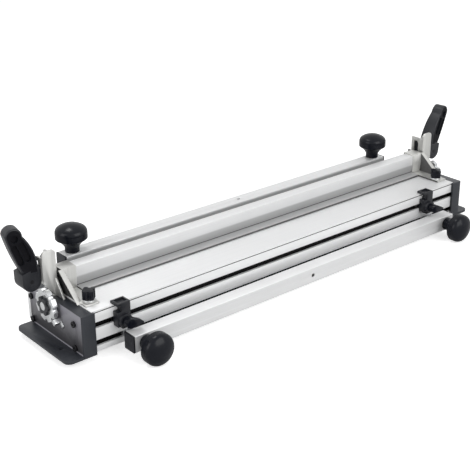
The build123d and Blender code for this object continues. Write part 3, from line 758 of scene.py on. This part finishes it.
@dataclass
class SocketScrews:
    """Button-head screws with a hexagon socket, set out by Geometry Nodes.

    Each place is a point under the head and the way that the head looks.
    """

    name: str
    head_radius: float
    head_height: float
    socket_radius: float
    socket_depth: float
    head_facets: int = 40
    socket_sides: int = 6
    edge: float = 0.35 * MM
    edge_segments: int = ROUND_STEPS
    sharp_angle: float = 50.0
    places: list[tuple[Triple, Triple]] = field(default_factory=list)

    def build(self, finish: Finish, body: str, *nodes: str) -> bpy.types.Object:
        """Sets the screws out and turns them into one plain mesh.

        Args:
            finish: The screws' surface.
            body: The CAD body that carries them.
            *nodes: CAD nodes that they replace.

        Returns:
            The finished piece.
        """
        mesh = bpy.data.meshes.new(self.name)
        mesh.from_pydata([place for place, _ in self.places], [], [])
        turns = mesh.attributes.new("turn", "FLOAT_VECTOR", "POINT")
        for item, (_, way) in zip(turns.data, self.places):
            item.vector = Vector(way).to_track_quat("Z", "Y").to_euler()
        piece = add_object(self.name, mesh)
        modifier = piece.modifiers.new("screws", "NODES")
        group = self._tree(finish)
        modifier.node_group = group
        sizes = self._sizes()
        for item in group.interface.items_tree:
            if item.in_out == "INPUT" and item.name in sizes:
                modifier[item.identifier] = sizes[item.name]
        baked(piece)
        softened(piece, self.edge, self.edge_segments, self.sharp_angle)
        return dress(piece, finish, body, *nodes)

    def _sizes(self) -> dict[str, float]:
        """The node group's size inputs with their values."""
        return {
            "Head radius": self.head_radius,
            "Head height": self.head_height,
            "Socket radius": self.socket_radius,
            "Socket depth": self.socket_depth,
        }

    def _tree(self, finish: Finish) -> bpy.types.NodeTree:
        """Builds the node group that puts a head on every point.

        Args:
            finish: The screws' surface.

        Returns:
            The new node group, with a named input for each size.
        """
        group = bpy.data.node_groups.new(f"{self.name}_tree", "GeometryNodeTree")
        sockets = group.interface
        sockets.new_socket("Points", in_out="INPUT", socket_type="NodeSocketGeometry")
        for label in self._sizes():
            sockets.new_socket(label, in_out="INPUT", socket_type="NodeSocketFloat")
        sockets.new_socket("Screws", in_out="OUTPUT", socket_type="NodeSocketGeometry")
        nodes = group.nodes
        links = group.links
        given = nodes.new("NodeGroupInput")
        made = nodes.new("NodeGroupOutput")
        cut = nodes.new("GeometryNodeMeshBoolean")
        cut.operation = "DIFFERENCE"
        links.new(self._head(group, given), cut.inputs["Mesh 1"])
        links.new(self._socket(group, given), cut.inputs["Mesh 2"])
        turn = nodes.new("GeometryNodeInputNamedAttribute")
        turn.data_type = "FLOAT_VECTOR"
        turn.inputs["Name"].default_value = "turn"
        spread = nodes.new("GeometryNodeInstanceOnPoints")
        links.new(given.outputs["Points"], spread.inputs["Points"])
        links.new(cut.outputs["Mesh"], spread.inputs["Instance"])
        links.new(turn.outputs["Attribute"], spread.inputs["Rotation"])
        whole = nodes.new("GeometryNodeRealizeInstances")
        links.new(spread.outputs["Instances"], whole.inputs["Geometry"])
        paint = nodes.new("GeometryNodeSetMaterial")
        paint.inputs["Material"].default_value = finish.material()
        links.new(whole.outputs["Geometry"], paint.inputs["Geometry"])
        links.new(paint.outputs["Geometry"], made.inputs["Screws"])
        return group

    def _head(self, group: bpy.types.NodeTree, given: bpy.types.Node) -> bpy.types.NodeSocket:
        """Makes a round head that stands on its point.

        Args:
            group: The node group.
            given: The node with the group's inputs.

        Returns:
            The socket with the head's mesh.
        """
        head = group.nodes.new("GeometryNodeMeshCylinder")
        head.inputs["Vertices"].default_value = self.head_facets
        group.links.new(given.outputs["Head radius"], head.inputs["Radius"])
        group.links.new(given.outputs["Head height"], head.inputs["Depth"])
        half_height = self._times(group, given.outputs["Head height"], 0.5)
        return self._lifted(group, head.outputs["Mesh"], half_height)

    def _socket(self, group: bpy.types.NodeTree, given: bpy.types.Node) -> bpy.types.NodeSocket:
        """Makes the socket's cutter, which stands half above the head and half in it.

        Args:
            group: The node group.
            given: The node with the group's inputs.

        Returns:
            The socket with the cutter's mesh.
        """
        cutter = group.nodes.new("GeometryNodeMeshCylinder")
        cutter.inputs["Vertices"].default_value = self.socket_sides
        group.links.new(given.outputs["Socket radius"], cutter.inputs["Radius"])
        length = self._times(group, given.outputs["Socket depth"], 2.0)
        group.links.new(length, cutter.inputs["Depth"])
        return self._lifted(group, cutter.outputs["Mesh"], given.outputs["Head height"])

    def _times(
        self, group: bpy.types.NodeTree, value: bpy.types.NodeSocket, factor: float
    ) -> bpy.types.NodeSocket:
        """Multiplies a value in the node group.

        Args:
            group: The node group.
            value: The socket with the value.
            factor: What it is multiplied by.

        Returns:
            The socket with the product.
        """
        product = group.nodes.new("ShaderNodeMath")
        product.operation = "MULTIPLY"
        product.inputs[1].default_value = factor
        group.links.new(value, product.inputs[0])
        return product.outputs["Value"]

    def _lifted(
        self, group: bpy.types.NodeTree, mesh: bpy.types.NodeSocket, height: bpy.types.NodeSocket
    ) -> bpy.types.NodeSocket:
        """Moves a mesh up in the node group.

        Args:
            group: The node group.
            mesh: The socket with the mesh.
            height: The socket with the height.

        Returns:
            The socket with the moved mesh.
        """
        way = group.nodes.new("ShaderNodeCombineXYZ")
        group.links.new(height, way.inputs["Z"])
        move = group.nodes.new("GeometryNodeTransform")
        group.links.new(mesh, move.inputs["Geometry"])
        group.links.new(way.outputs["Vector"], move.inputs["Translation"])
        return move.outputs["Geometry"]


@dataclass
class Bench:
    """The fixed part: slotted table, end cheeks, uprights and their screws.

    A slot is the low and the high corner of its section, in Y and Z.
    """

    half_span: float = 390.0 * MM
    lower_slot: tuple[Pair, Pair] = ((-32.4 * MM, 7.0 * MM), (-24.0 * MM, 23.0 * MM))
    upper_slot: tuple[Pair, Pair] = ((-32.4 * MM, 34.0 * MM), (-24.0 * MM, 50.0 * MM))
    rear_slot: tuple[Pair, Pair] = ((95.0 * MM, 52.0 * MM), (110.0 * MM, 63.4 * MM))
    edge_groove: tuple[Pair, Pair] = ((-35.9 * MM, 60.0 * MM), (-33.0 * MM, 63.95 * MM))
    table_edge: float = 0.4 * MM
    cheek_top: float = 63.0 * MM
    cheek_edge: float = 0.7 * MM
    web_front: float = -38.0 * MM
    web_back: float = 95.0 * MM
    web_foot: float = 6.0 * MM
    web_bend: float = 1.0 * MM
    cheek_screw_rows: Pair = (-20.5 * MM, 91.0 * MM)
    cheek_screw_heights: Pair = (10.0 * MM, 46.0 * MM)
    upright_edge: float = 0.5 * MM
    upright_sheet: float = 3.0 * MM
    upright_screw_x: float = 383.5 * MM
    upright_screw_rows: Pair = (47.7 * MM, 59.9 * MM)

    def build(self) -> None:
        """Dresses the table, cheeks and uprights and sets out their screws."""
        table = dress_copy("table_extrusion", ANODISED, "base", self.table_edge)
        # Painted shade inside the slots and the edge groove.
        paint_inside(table, SLOT_PAINTED_SHADE, self._slot_rooms())
        for side in Side:
            cheek_node = f"{side.word}_cheek"
            cheek = dress_copy(cheek_node, POWDER_COAT, "base", self.cheek_edge, ROUND_STEPS)
            # Painted sheen and highlight on the web's outer face.
            paint_inside(cheek, CHEEK_PAINTED_SHEEN, [self._web_room(side)])
            dress_copy(f"{side.word}_upright", ZINC, "base", self.upright_edge)
        self._cheek_screws()
        self._upright_screws()
        for node in ("front_clamp_nuts", "rear_clamp_nuts", "left_stop_nut", "right_stop_nut"):
            dress_node(node, ZINC_SMALL)

    def _slot_rooms(self) -> list[Room]:
        """Boxes round the insides of the slots and the groove, where shade is painted.

        Returns:
            The low and high corner of each box.
        """
        sections = (self.lower_slot, self.upper_slot, self.rear_slot, self.edge_groove)
        rooms: list[Room] = []
        for low, high in sections:
            rooms.append(((-self.half_span, *low), (self.half_span, *high)))
        return rooms

    def _web_room(self, side: Side) -> Room:
        """Box round the outer face of one cheek's web, where a sheen is painted.

        Args:
            side: Which cheek.

        Returns:
            The box's low and high corner.
        """
        face = side.value * self.half_span
        low = (face - SKIN, self.web_front, self.web_foot)
        high = (face + SKIN, self.web_back, self.cheek_top - self.web_bend)
        return low, high

    def _cheek_screws(self) -> None:
        """Button-head screws on the outside of the cheeks."""
        screws = SocketScrews(
            "cheek_button_screws",
            head_radius=4.5 * MM,
            head_height=3.0 * MM,
            socket_radius=1.8 * MM,
            socket_depth=1.7 * MM,
        )
        for side in Side:
            outward = (side.value, 0.0, 0.0)
            for y in self.cheek_screw_rows:
                for z in self.cheek_screw_heights:
                    screws.places.append(((side.value * self.half_span, y, z), outward))
        screws.build(BLACK_OXIDE, "base", "cheek_screws")

    def _upright_screws(self) -> None:
        """Screws that hold the uprights down."""
        screws = SocketScrews(
            "upright_foot_screws",
            head_radius=3.5 * MM,
            head_height=2.4 * MM,
            socket_radius=1.4 * MM,
            socket_depth=1.4 * MM,
        )
        upward = (0.0, 0.0, 1.0)
        for side in Side:
            for y in self.upright_screw_rows:
                place = (side.value * self.upright_screw_x, y, self.cheek_top + self.upright_sheet)
                screws.places.append((place, upward))
        screws.build(ZINC_SMALL, "base", "upright_screws")


@dataclass
class ClampSet:
    """One clamping bar with its end caps, studs, knobs and bushes.

    Its own frame has the bar's inner face at z = 0 and the studs along +Z.
    """

    name: str
    place: Matrix
    gap: float
    stud_tip: float
    bar_finish: Finish
    bar_depth: float = 22.0 * MM
    bar_edge: float = 0.3 * MM
    cap_edge: float = 0.6 * MM
    slot_depth: float = 10.7 * MM
    stud_radius: float = 4.0 * MM
    stud_facets: int = 32
    thread_pitch: float = 1.25 * MM
    thread_depth: float = 0.35 * MM
    seat_gap: float = 0.6 * MM
    neck_radius: float = 10.75 * MM
    neck_height: float = 8.0 * MM
    flare_sag: float = 1.5 * MM
    flare_steps: int = 18
    rim_radius: float = 23.5 * MM
    rim_low: float = 21.0 * MM
    rim_high: float = 30.0 * MM
    rim_start_angle: float = -60.0
    groove: float = 0.35 * MM
    soft_edge: float = 0.7 * MM
    soft_steps: int = 4
    shoulder_radius: float = 9.0 * MM
    shoulder_start_angle: float = 2.0
    shoulder_steps: int = 14
    dome_angle: float = 58.0
    dome_steps: int = 10
    sharp_angle: float = 40.0

    def build(self) -> None:
        """Dresses every piece of the clamp."""
        body = f"{self.name}_clamp"
        dress_copy(f"{self.name}_clamp_bar", self.bar_finish, body, self.bar_edge)
        dress_copy(f"{self.name}_bar_caps", GRIP_PLASTIC, body, self.cap_edge, ROUND_STEPS)
        self._studs()
        for side in Side:
            self._knob(side)
            dress_node(f"{self.name}_{side.word}_knob_bush", BRASS)

    def _axis(self, side: Side) -> Matrix:
        """Where one stud stands on the bar's inner face."""
        return self.place @ Matrix.Translation((side.value * STUD_HALF_SPAN, 0.0, 0.0))

    def _studs(self) -> None:
        """Studs with thread ridges."""
        shape = bmesh.new()
        low = -self.gap - self.slot_depth
        root = self.stud_radius - self.thread_depth
        ridges = int((self.stud_tip - low) / self.thread_pitch)
        profile: list[Pair] = [(0.0, low)]
        for ridge in range(ridges):
            foot = low + ridge * self.thread_pitch
            profile.append((root, foot))
            profile.append((self.stud_radius, foot + self.thread_pitch / 2))
        profile.append((root, self.stud_tip))
        profile.append((0.0, self.stud_tip))
        for side in Side:
            add_lathe(shape, profile, self._axis(side), self.stud_facets)
        name = f"{self.name}_threaded_studs"
        piece = add_object(name, mesh_from(shape, name))
        dress(piece, ZINC_SMALL, "base", f"{self.name}_clamp_studs")

    def _flare(self) -> list[Pair]:
        """The hollow flare from the knob's neck to its rim.

        Returns:
            (radius, height) points in metres.
        """
        low = Vector((self.neck_radius, self.neck_height))
        high = Vector((self.rim_radius, self.rim_low))
        inward = Vector((low.y - high.y, high.x - low.x)).normalized() * self.flare_sag
        flare: list[Pair] = []
        for step in range(self.flare_steps):
            share = step / self.flare_steps
            point = low.lerp(high, share) + inward * (4 * share * (1 - share))
            flare.append((point.x, point.y))
        return flare

    def _knob_profile(self) -> list[Pair]:
        """Half outline of a mushroom knob, from its seat to its crown.

        Returns:
            (radius, height) points in metres.
        """
        soft = self.soft_edge
        neck = self.neck_radius - soft
        profile: list[Pair] = [(0.0, self.seat_gap), (neck, self.seat_gap)]
        profile += arc((neck, self.seat_gap + soft), soft, -90, 0, self.soft_steps)
        profile += self._flare()
        rim = (self.rim_radius - soft, self.rim_low + soft)
        profile += arc(rim, soft, self.rim_start_angle, 0, self.soft_steps)
        for z in (self.rim_high - 2 * self.groove, self.rim_high):
            profile.append((self.rim_radius, z - self.groove))
        profile.append((self.rim_radius - self.groove, self.rim_high - self.groove / 2))
        shoulder = (self.rim_radius - self.shoulder_radius, self.rim_high)
        profile += arc(
            shoulder,
            self.shoulder_radius,
            self.shoulder_start_angle,
            self.dome_angle,
            self.shoulder_steps,
        )
        edge_radius, edge_height = profile[-1]
        dome = edge_radius / math.cos(math.radians(self.dome_angle))
        crown = edge_height + dome * (1 - math.sin(math.radians(self.dome_angle)))
        profile += arc((0.0, crown - dome), dome, self.dome_angle, 90, self.dome_steps)[1:-1]
        profile.append((0.0, crown))
        return profile

    def _knob(self, side: Side) -> None:
        """Turns and dresses one mushroom knob.

        Args:
            side: Which end of the bar it is at.
        """
        node = f"{self.name}_{side.word}_knob"
        seat = self._axis(side) @ Matrix.Translation((0.0, 0.0, self.bar_depth))
        shape = bmesh.new()
        add_lathe(shape, self._knob_profile(), seat)
        piece = add_object(f"{node}_turned", mesh_from(shape, f"{node}_turned"))
        piece.data.shade_smooth()
        piece.data.set_sharp_from_angle(angle=math.radians(self.sharp_angle))
        dress(piece, KNOB_PLASTIC, f"{node}_body", node)


@dataclass
class ClampSprings:
    """Wound springs on the front studs that push the bar away from the table."""

    place: Matrix
    gap: float
    squeezed: float = 4.0 * MM
    wire: float = 1.4 * MM
    coil_radius: float = 6.3 * MM
    turns: float = 5.0
    end_turns: float = 1.0
    seat_gap: float = 0.1 * MM
    line_steps: int = 240
    sharp_angle: float = 50.0

    def _line(self, x: float) -> list[Vector]:
        """Centre line of one spring, with a flat turn at each end.

        Args:
            x: Where its stud stands along the bar.

        Returns:
            Points along the wire.
        """
        low = -self.gap + self.wire / 2 + self.seat_gap
        high = -self.wire / 2 - self.seat_gap
        points = []
        for step in range(self.line_steps + 1):
            turn = self.turns * step / self.line_steps
            share = (turn - self.end_turns) / (self.turns - 2 * self.end_turns)
            share = min(1.0, max(0.0, share))
            first_rise = self.wire * 0.5 * min(turn, self.end_turns)
            last_rise = self.wire * 0.5 * max(0.0, turn - self.turns + self.end_turns)
            height = low + first_rise + (high - self.wire - low) * share + last_rise
            angle = 2 * math.pi * turn
            across = self.coil_radius * math.cos(angle)
            aside = self.coil_radius * math.sin(angle)
            points.append(self.place @ Vector((x + across, aside, height)))
        return points

    def build(self) -> None:
        """Winds both springs and gives the piece a mesh of its own."""
        shape = bmesh.new()
        for side in Side:
            add_tube(shape, self._line(side.value * STUD_HALF_SPAN), self.wire / 2)
        piece = add_object("front_wound_springs", mesh_from(shape, "front_wound_springs"))
        piece.data.shade_smooth()
        piece.data.set_sharp_from_angle(angle=math.radians(self.sharp_angle))
        dress(piece, SPRING_WIRE, "base", "front_clamp_springs")
        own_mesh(piece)


@dataclass
class TemplateBeam:
    """The lifting beam with its end brackets, guide blocks, tie bolts and washers."""

    bracket_outer_x: float = 370.7 * MM
    bracket_sheet: float = 2.5 * MM
    flange_width: float = 21.6 * MM
    flange_top: float = 67.0 * MM
    past_bracket: float = 200.0 * MM
    screw_places: tuple[Pair, Pair] = ((43.25 * MM, 91.65 * MM), (44.75 * MM, 72.75 * MM))
    beam_edge: float = 0.4 * MM
    bracket_edge: float = 0.5 * MM
    block_edge: float = 0.5 * MM
    bolt_edge: float = 0.3 * MM

    def build(self) -> None:
        """Dresses the beam and what moves up and down with it."""
        dress_copy("template_beam", BEAM_PAINTED_SHADE, "beam", self.beam_edge)
        for side in Side:
            bracket = dress_copy(f"{side.word}_beam_bracket", ZINC, "beam", self.bracket_edge)
            # Painted shade on the bracket faces that look away from the light.
            paint_inside(bracket, ZINC_PAINTED_SHADE, self._painted_shade_rooms(side))
            dress_copy(f"{side.word}_guide_block", GRIP_PLASTIC, "beam", self.block_edge)
            dress_copy(f"{side.word}_tie_bolt", ZINC_SMALL, "beam", self.bolt_edge)
        dress_copy("star_washers", ZINC_SMALL, "beam", self.bolt_edge)
        self._bracket_screws()

    def _bracket_screws(self) -> None:
        """Button-head screws on the outside of the brackets."""
        screws = SocketScrews(
            "bracket_button_screws",
            head_radius=4.0 * MM,
            head_height=2.5 * MM,
            socket_radius=1.6 * MM,
            socket_depth=1.5 * MM,
        )
        for side in Side:
            outward = (side.value, 0.0, 0.0)
            for y, z in self.screw_places:
                screws.places.append(((side.value * self.bracket_outer_x, y, z), outward))
        screws.build(BLACK_OXIDE, "beam", "bracket_screws")

    def _painted_shade_rooms(self, side: Side) -> list[Room]:
        """Boxes round one bracket's plate faces and its flange edge, where shade is painted.

        Args:
            side: Which bracket.

        Returns:
            The low and high corner of each box.
        """
        plate = (self.flange_top, self.past_bracket)
        flange = (0.0, self.flange_top)
        layers = ((0.0, plate), (self.bracket_sheet, plate), (self.flange_width, flange))
        rooms: list[Room] = []
        for depth, (low, high) in layers:
            x = side.value * (self.bracket_outer_x - depth)
            low_corner = (x - SKIN, -self.past_bracket, low)
            rooms.append((low_corner, (x + SKIN, self.past_bracket, high)))
        return rooms


@dataclass
class EndFittings:
    """The hand pieces at one end: cam lever, star knob and index wheel.

    The lean and the turn are in degrees.
    """

    side: Side
    lever_lean: float
    grip_turn: float = 10.0
    pocket_depth: float = 4.0 * MM
    lever_edge: float = 0.6 * MM
    star_edge: float = 1.2 * MM
    disc_edge: float = 1.0 * MM
    core_edge: float = 0.8 * MM

    def _grip_front(self) -> Vector:
        """The way that the lever's pocketed front looks.

        Returns:
            A direction of length one.
        """
        turn = Matrix.Rotation(math.radians(self.side.value * self.grip_turn), 3, "Z")
        lean = Matrix.Rotation(math.radians(self.side.value * self.lever_lean), 3, "Y")
        return lean @ turn @ Vector((0.0, -1.0, 0.0))

    def build(self) -> None:
        """Dresses the lever, the star knob and the index wheel."""
        word = self.side.word
        wheel = f"{word}_index_wheel"
        lever = dress_copy(
            f"{word}_cam_lever", GRIP_PLASTIC, f"{word}_lever", self.lever_edge, ROUND_STEPS
        )
        # Painted shade on the sunk faces of the grip's pockets.
        paint_floors(lever, POCKET_PAINTED_SHADE, self._grip_front(), self.pocket_depth / 2)
        dress_node(f"{word}_lever_pin", BLACK_OXIDE)
        dress_copy(f"{word}_star_knob", KNOB_PLASTIC, f"{word}_star", self.star_edge, STAR_STEPS)
        dress_node(f"{word}_star_stud", ZINC_SMALL)
        dress_copy(f"{word}_index_disc", ZINC_SMALL, wheel, self.disc_edge, ROUND_STEPS)
        dress_copy(f"{word}_index_knob", GRIP_PLASTIC, wheel, self.core_edge, ROUND_STEPS)


@dataclass
class SideStop:
    """One side stop with its wing screw."""

    side: Side
    body_edge: float = 0.6 * MM
    wing_edge: float = 0.8 * MM

    def build(self) -> None:
        """Dresses the stop and its screw."""
        word = self.side.word
        body = f"{word}_stop"
        wing = f"{word}_stop_wing"
        dress_copy(f"{word}_side_stop", GRIP_PLASTIC, body, self.body_edge, ROUND_STEPS)
        dress_copy(f"{word}_stop_screw", KNOB_PLASTIC, wing, self.wing_edge, ROUND_STEPS)


@dataclass(frozen=True)
class Lamp:
    """A square soft panel, with its place and side in metres and its power in watts."""

    name: str
    place: Triple
    size: float
    power: float

    def hang(self, aim: Triple) -> None:
        """Hangs the panel so that it faces a point.

        Args:
            aim: The point, in metres.
        """
        data = bpy.data.lights.new(self.name, "AREA")
        data.size = self.size
        data.energy = self.power
        lamp = bpy.data.objects.new(self.name, data)
        lamp.location = self.place
        way = Vector(aim) - Vector(self.place)
        lamp.rotation_euler = way.to_track_quat("-Z", "Y").to_euler()
        bpy.context.scene.collection.objects.link(lamp)


@dataclass
class Studio:
    """Pale floor, soft lights and the camera at the photograph's place.

    Places are in metres, the camera's angles in radians, and its lens and sensor in millimetres.
    """

    floor_level: float
    camera_place: Triple = (-1.0060, -1.0962, 0.7050)
    yaw: float = 0.699
    pitch: float = 0.410
    roll: float = -0.006
    lens: float = 79.557
    sensor_width: float = 36.0
    shift: Pair = (-0.00949, -0.00107)
    far_clip: float = 50.0
    room_light: float = 0.38
    floor_half_size: float = 6.0
    floor_grey: float = 0.93
    floor_roughness: float = 0.9
    floor_glow: float = 0.6
    aim: Triple = (0.0, 0.0, 0.05)
    lamps: tuple[Lamp, ...] = (
        Lamp("key_panel", (0.3, -1.8, 1.1), size=1.6, power=22.5),
        Lamp("side_panel", (-1.7, 0.1, 0.8), size=1.0, power=7.0),
        Lamp("back_panel", (-0.2, 0.7, 1.9), size=0.5, power=7.0),
    )

    def build(self) -> None:
        """Sets up the camera, the world, the floor and the lamps."""
        bpy.context.scene.view_settings.view_transform = "Standard"
        self._camera()
        self._world()
        self._floor()
        for lamp in self.lamps:
            lamp.hang(self.aim)

    def _camera(self) -> None:
        """The camera, turned by its yaw, pitch and roll."""
        yaw_cos, yaw_sin = math.cos(self.yaw), math.sin(self.yaw)
        pitch_cos, pitch_sin = math.cos(self.pitch), math.sin(self.pitch)
        ahead = Vector((yaw_sin * pitch_cos, yaw_cos * pitch_cos, -pitch_sin))
        right = Vector((yaw_cos, -yaw_sin, 0.0))
        up = right.cross(ahead)
        rolled_right = right * math.cos(self.roll) + up * math.sin(self.roll)
        rolled_up = up * math.cos(self.roll) - right * math.sin(self.roll)
        data = bpy.data.cameras.new("photo_camera")
        data.lens = self.lens
        data.sensor_width = self.sensor_width
        data.shift_x, data.shift_y = self.shift
        data.clip_end = self.far_clip
        camera = bpy.data.objects.new("photo_camera", data)
        turn = Matrix((rolled_right, rolled_up, -ahead)).transposed().to_4x4()
        camera.matrix_world = Matrix.Translation(self.camera_place) @ turn
        bpy.context.scene.collection.objects.link(camera)
        bpy.context.scene.camera = camera

    def _world(self) -> None:
        """White room, fully bright where it is seen or reflected and dimmer as a light."""
        world = bpy.data.worlds.new("white_room")
        bpy.context.scene.world = world
        world.use_nodes = True
        nodes = world.node_tree.nodes
        links = world.node_tree.links
        light = nodes["Background"]
        light.inputs["Color"].default_value = WHITE
        light.inputs["Strength"].default_value = self.room_light
        seen = nodes.new("ShaderNodeBackground")
        seen.inputs["Color"].default_value = WHITE
        seen.inputs["Strength"].default_value = 1.0
        path = nodes.new("ShaderNodeLightPath")
        either = nodes.new("ShaderNodeMath")
        either.operation = "MAXIMUM"
        links.new(path.outputs["Is Camera Ray"], either.inputs[0])
        links.new(path.outputs["Is Glossy Ray"], either.inputs[1])
        direct = nodes.new("ShaderNodeMath")
        direct.operation = "MAXIMUM"
        links.new(either.outputs["Value"], direct.inputs[0])
        links.new(path.outputs["Is Transmission Ray"], direct.inputs[1])
        mix = nodes.new("ShaderNodeMixShader")
        links.new(direct.outputs["Value"], mix.inputs["Fac"])
        links.new(light.outputs["Background"], mix.inputs[1])
        links.new(seen.outputs["Background"], mix.inputs[2])
        links.new(mix.outputs["Shader"], nodes["World Output"].inputs["Surface"])

    def _floor(self) -> None:
        """White floor that keeps the object's shadow and glows for the camera alone."""
        shape = bmesh.new()
        bmesh.ops.create_grid(shape, x_segments=1, y_segments=1, size=self.floor_half_size)
        floor = add_object("pale_floor", mesh_from(shape, "pale_floor"))
        floor.location.z = self.floor_level
        material = bpy.data.materials.new("pale_paper")
        material.use_nodes = True
        nodes = material.node_tree.nodes
        links = material.node_tree.links
        shader = nodes["Principled BSDF"]
        grey = self.floor_grey
        shader.inputs["Base Color"].default_value = (grey, grey, grey, 1.0)
        shader.inputs["Roughness"].default_value = self.floor_roughness
        shader.inputs["Emission Color"].default_value = WHITE
        glow = nodes.new("ShaderNodeMath")
        glow.operation = "MULTIPLY"
        glow.inputs[1].default_value = self.floor_glow
        path = nodes.new("ShaderNodeLightPath")
        links.new(path.outputs["Is Camera Ray"], glow.inputs[0])
        links.new(glow.outputs["Value"], shader.inputs["Emission Strength"])
        floor.data.materials.append(material)
        floor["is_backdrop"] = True


def box_lists(corners: Iterable[Sequence[float]]) -> list[list[float]]:
    """Corners as plain lists of numbers."""
    return [[float(part) for part in corner] for corner in corners]


def main() -> None:
    """Builds every sub-assembly in order."""
    logging.basicConfig(level=logging.INFO, format="%(name)s: %(message)s")
    solid_box = box_lists(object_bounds())
    front_face = Matrix.Translation((0.0, TABLE_FRONT - FRONT_GAP, FRONT_STUD_HEIGHT))
    front_place = front_face @ Matrix.Rotation(math.pi / 2, 4, "X")
    rear_place = Matrix.Translation((0.0, REAR_STUD_ROW, TABLE_TOP + REAR_GAP))
    Bench().build()
    ClampSet("front", front_place, FRONT_GAP, FRONT_STUD_TIP, FRONT_BAR_PAINTED_LIGHT).build()
    ClampSet("rear", rear_place, REAR_GAP, REAR_STUD_TIP, REAR_BAR_PAINTED_SHADE).build()
    ClampSprings(front_place, FRONT_GAP).build()
    TemplateBeam().build()
    lever_leans = {Side.LEFT: 0.0, Side.RIGHT: 7.0}
    for side in Side:
        EndFittings(side, lever_leans[side]).build()
        SideStop(side).build()
    for node in ("index_axles", "index_clips"):
        dress_copy(node, ZINC_SMALL, "base", PIN_EDGE)
    Studio(floor_level=solid_box[0][2] - FLOOR_GAP).build()


if __name__ == "__main__":
    main()
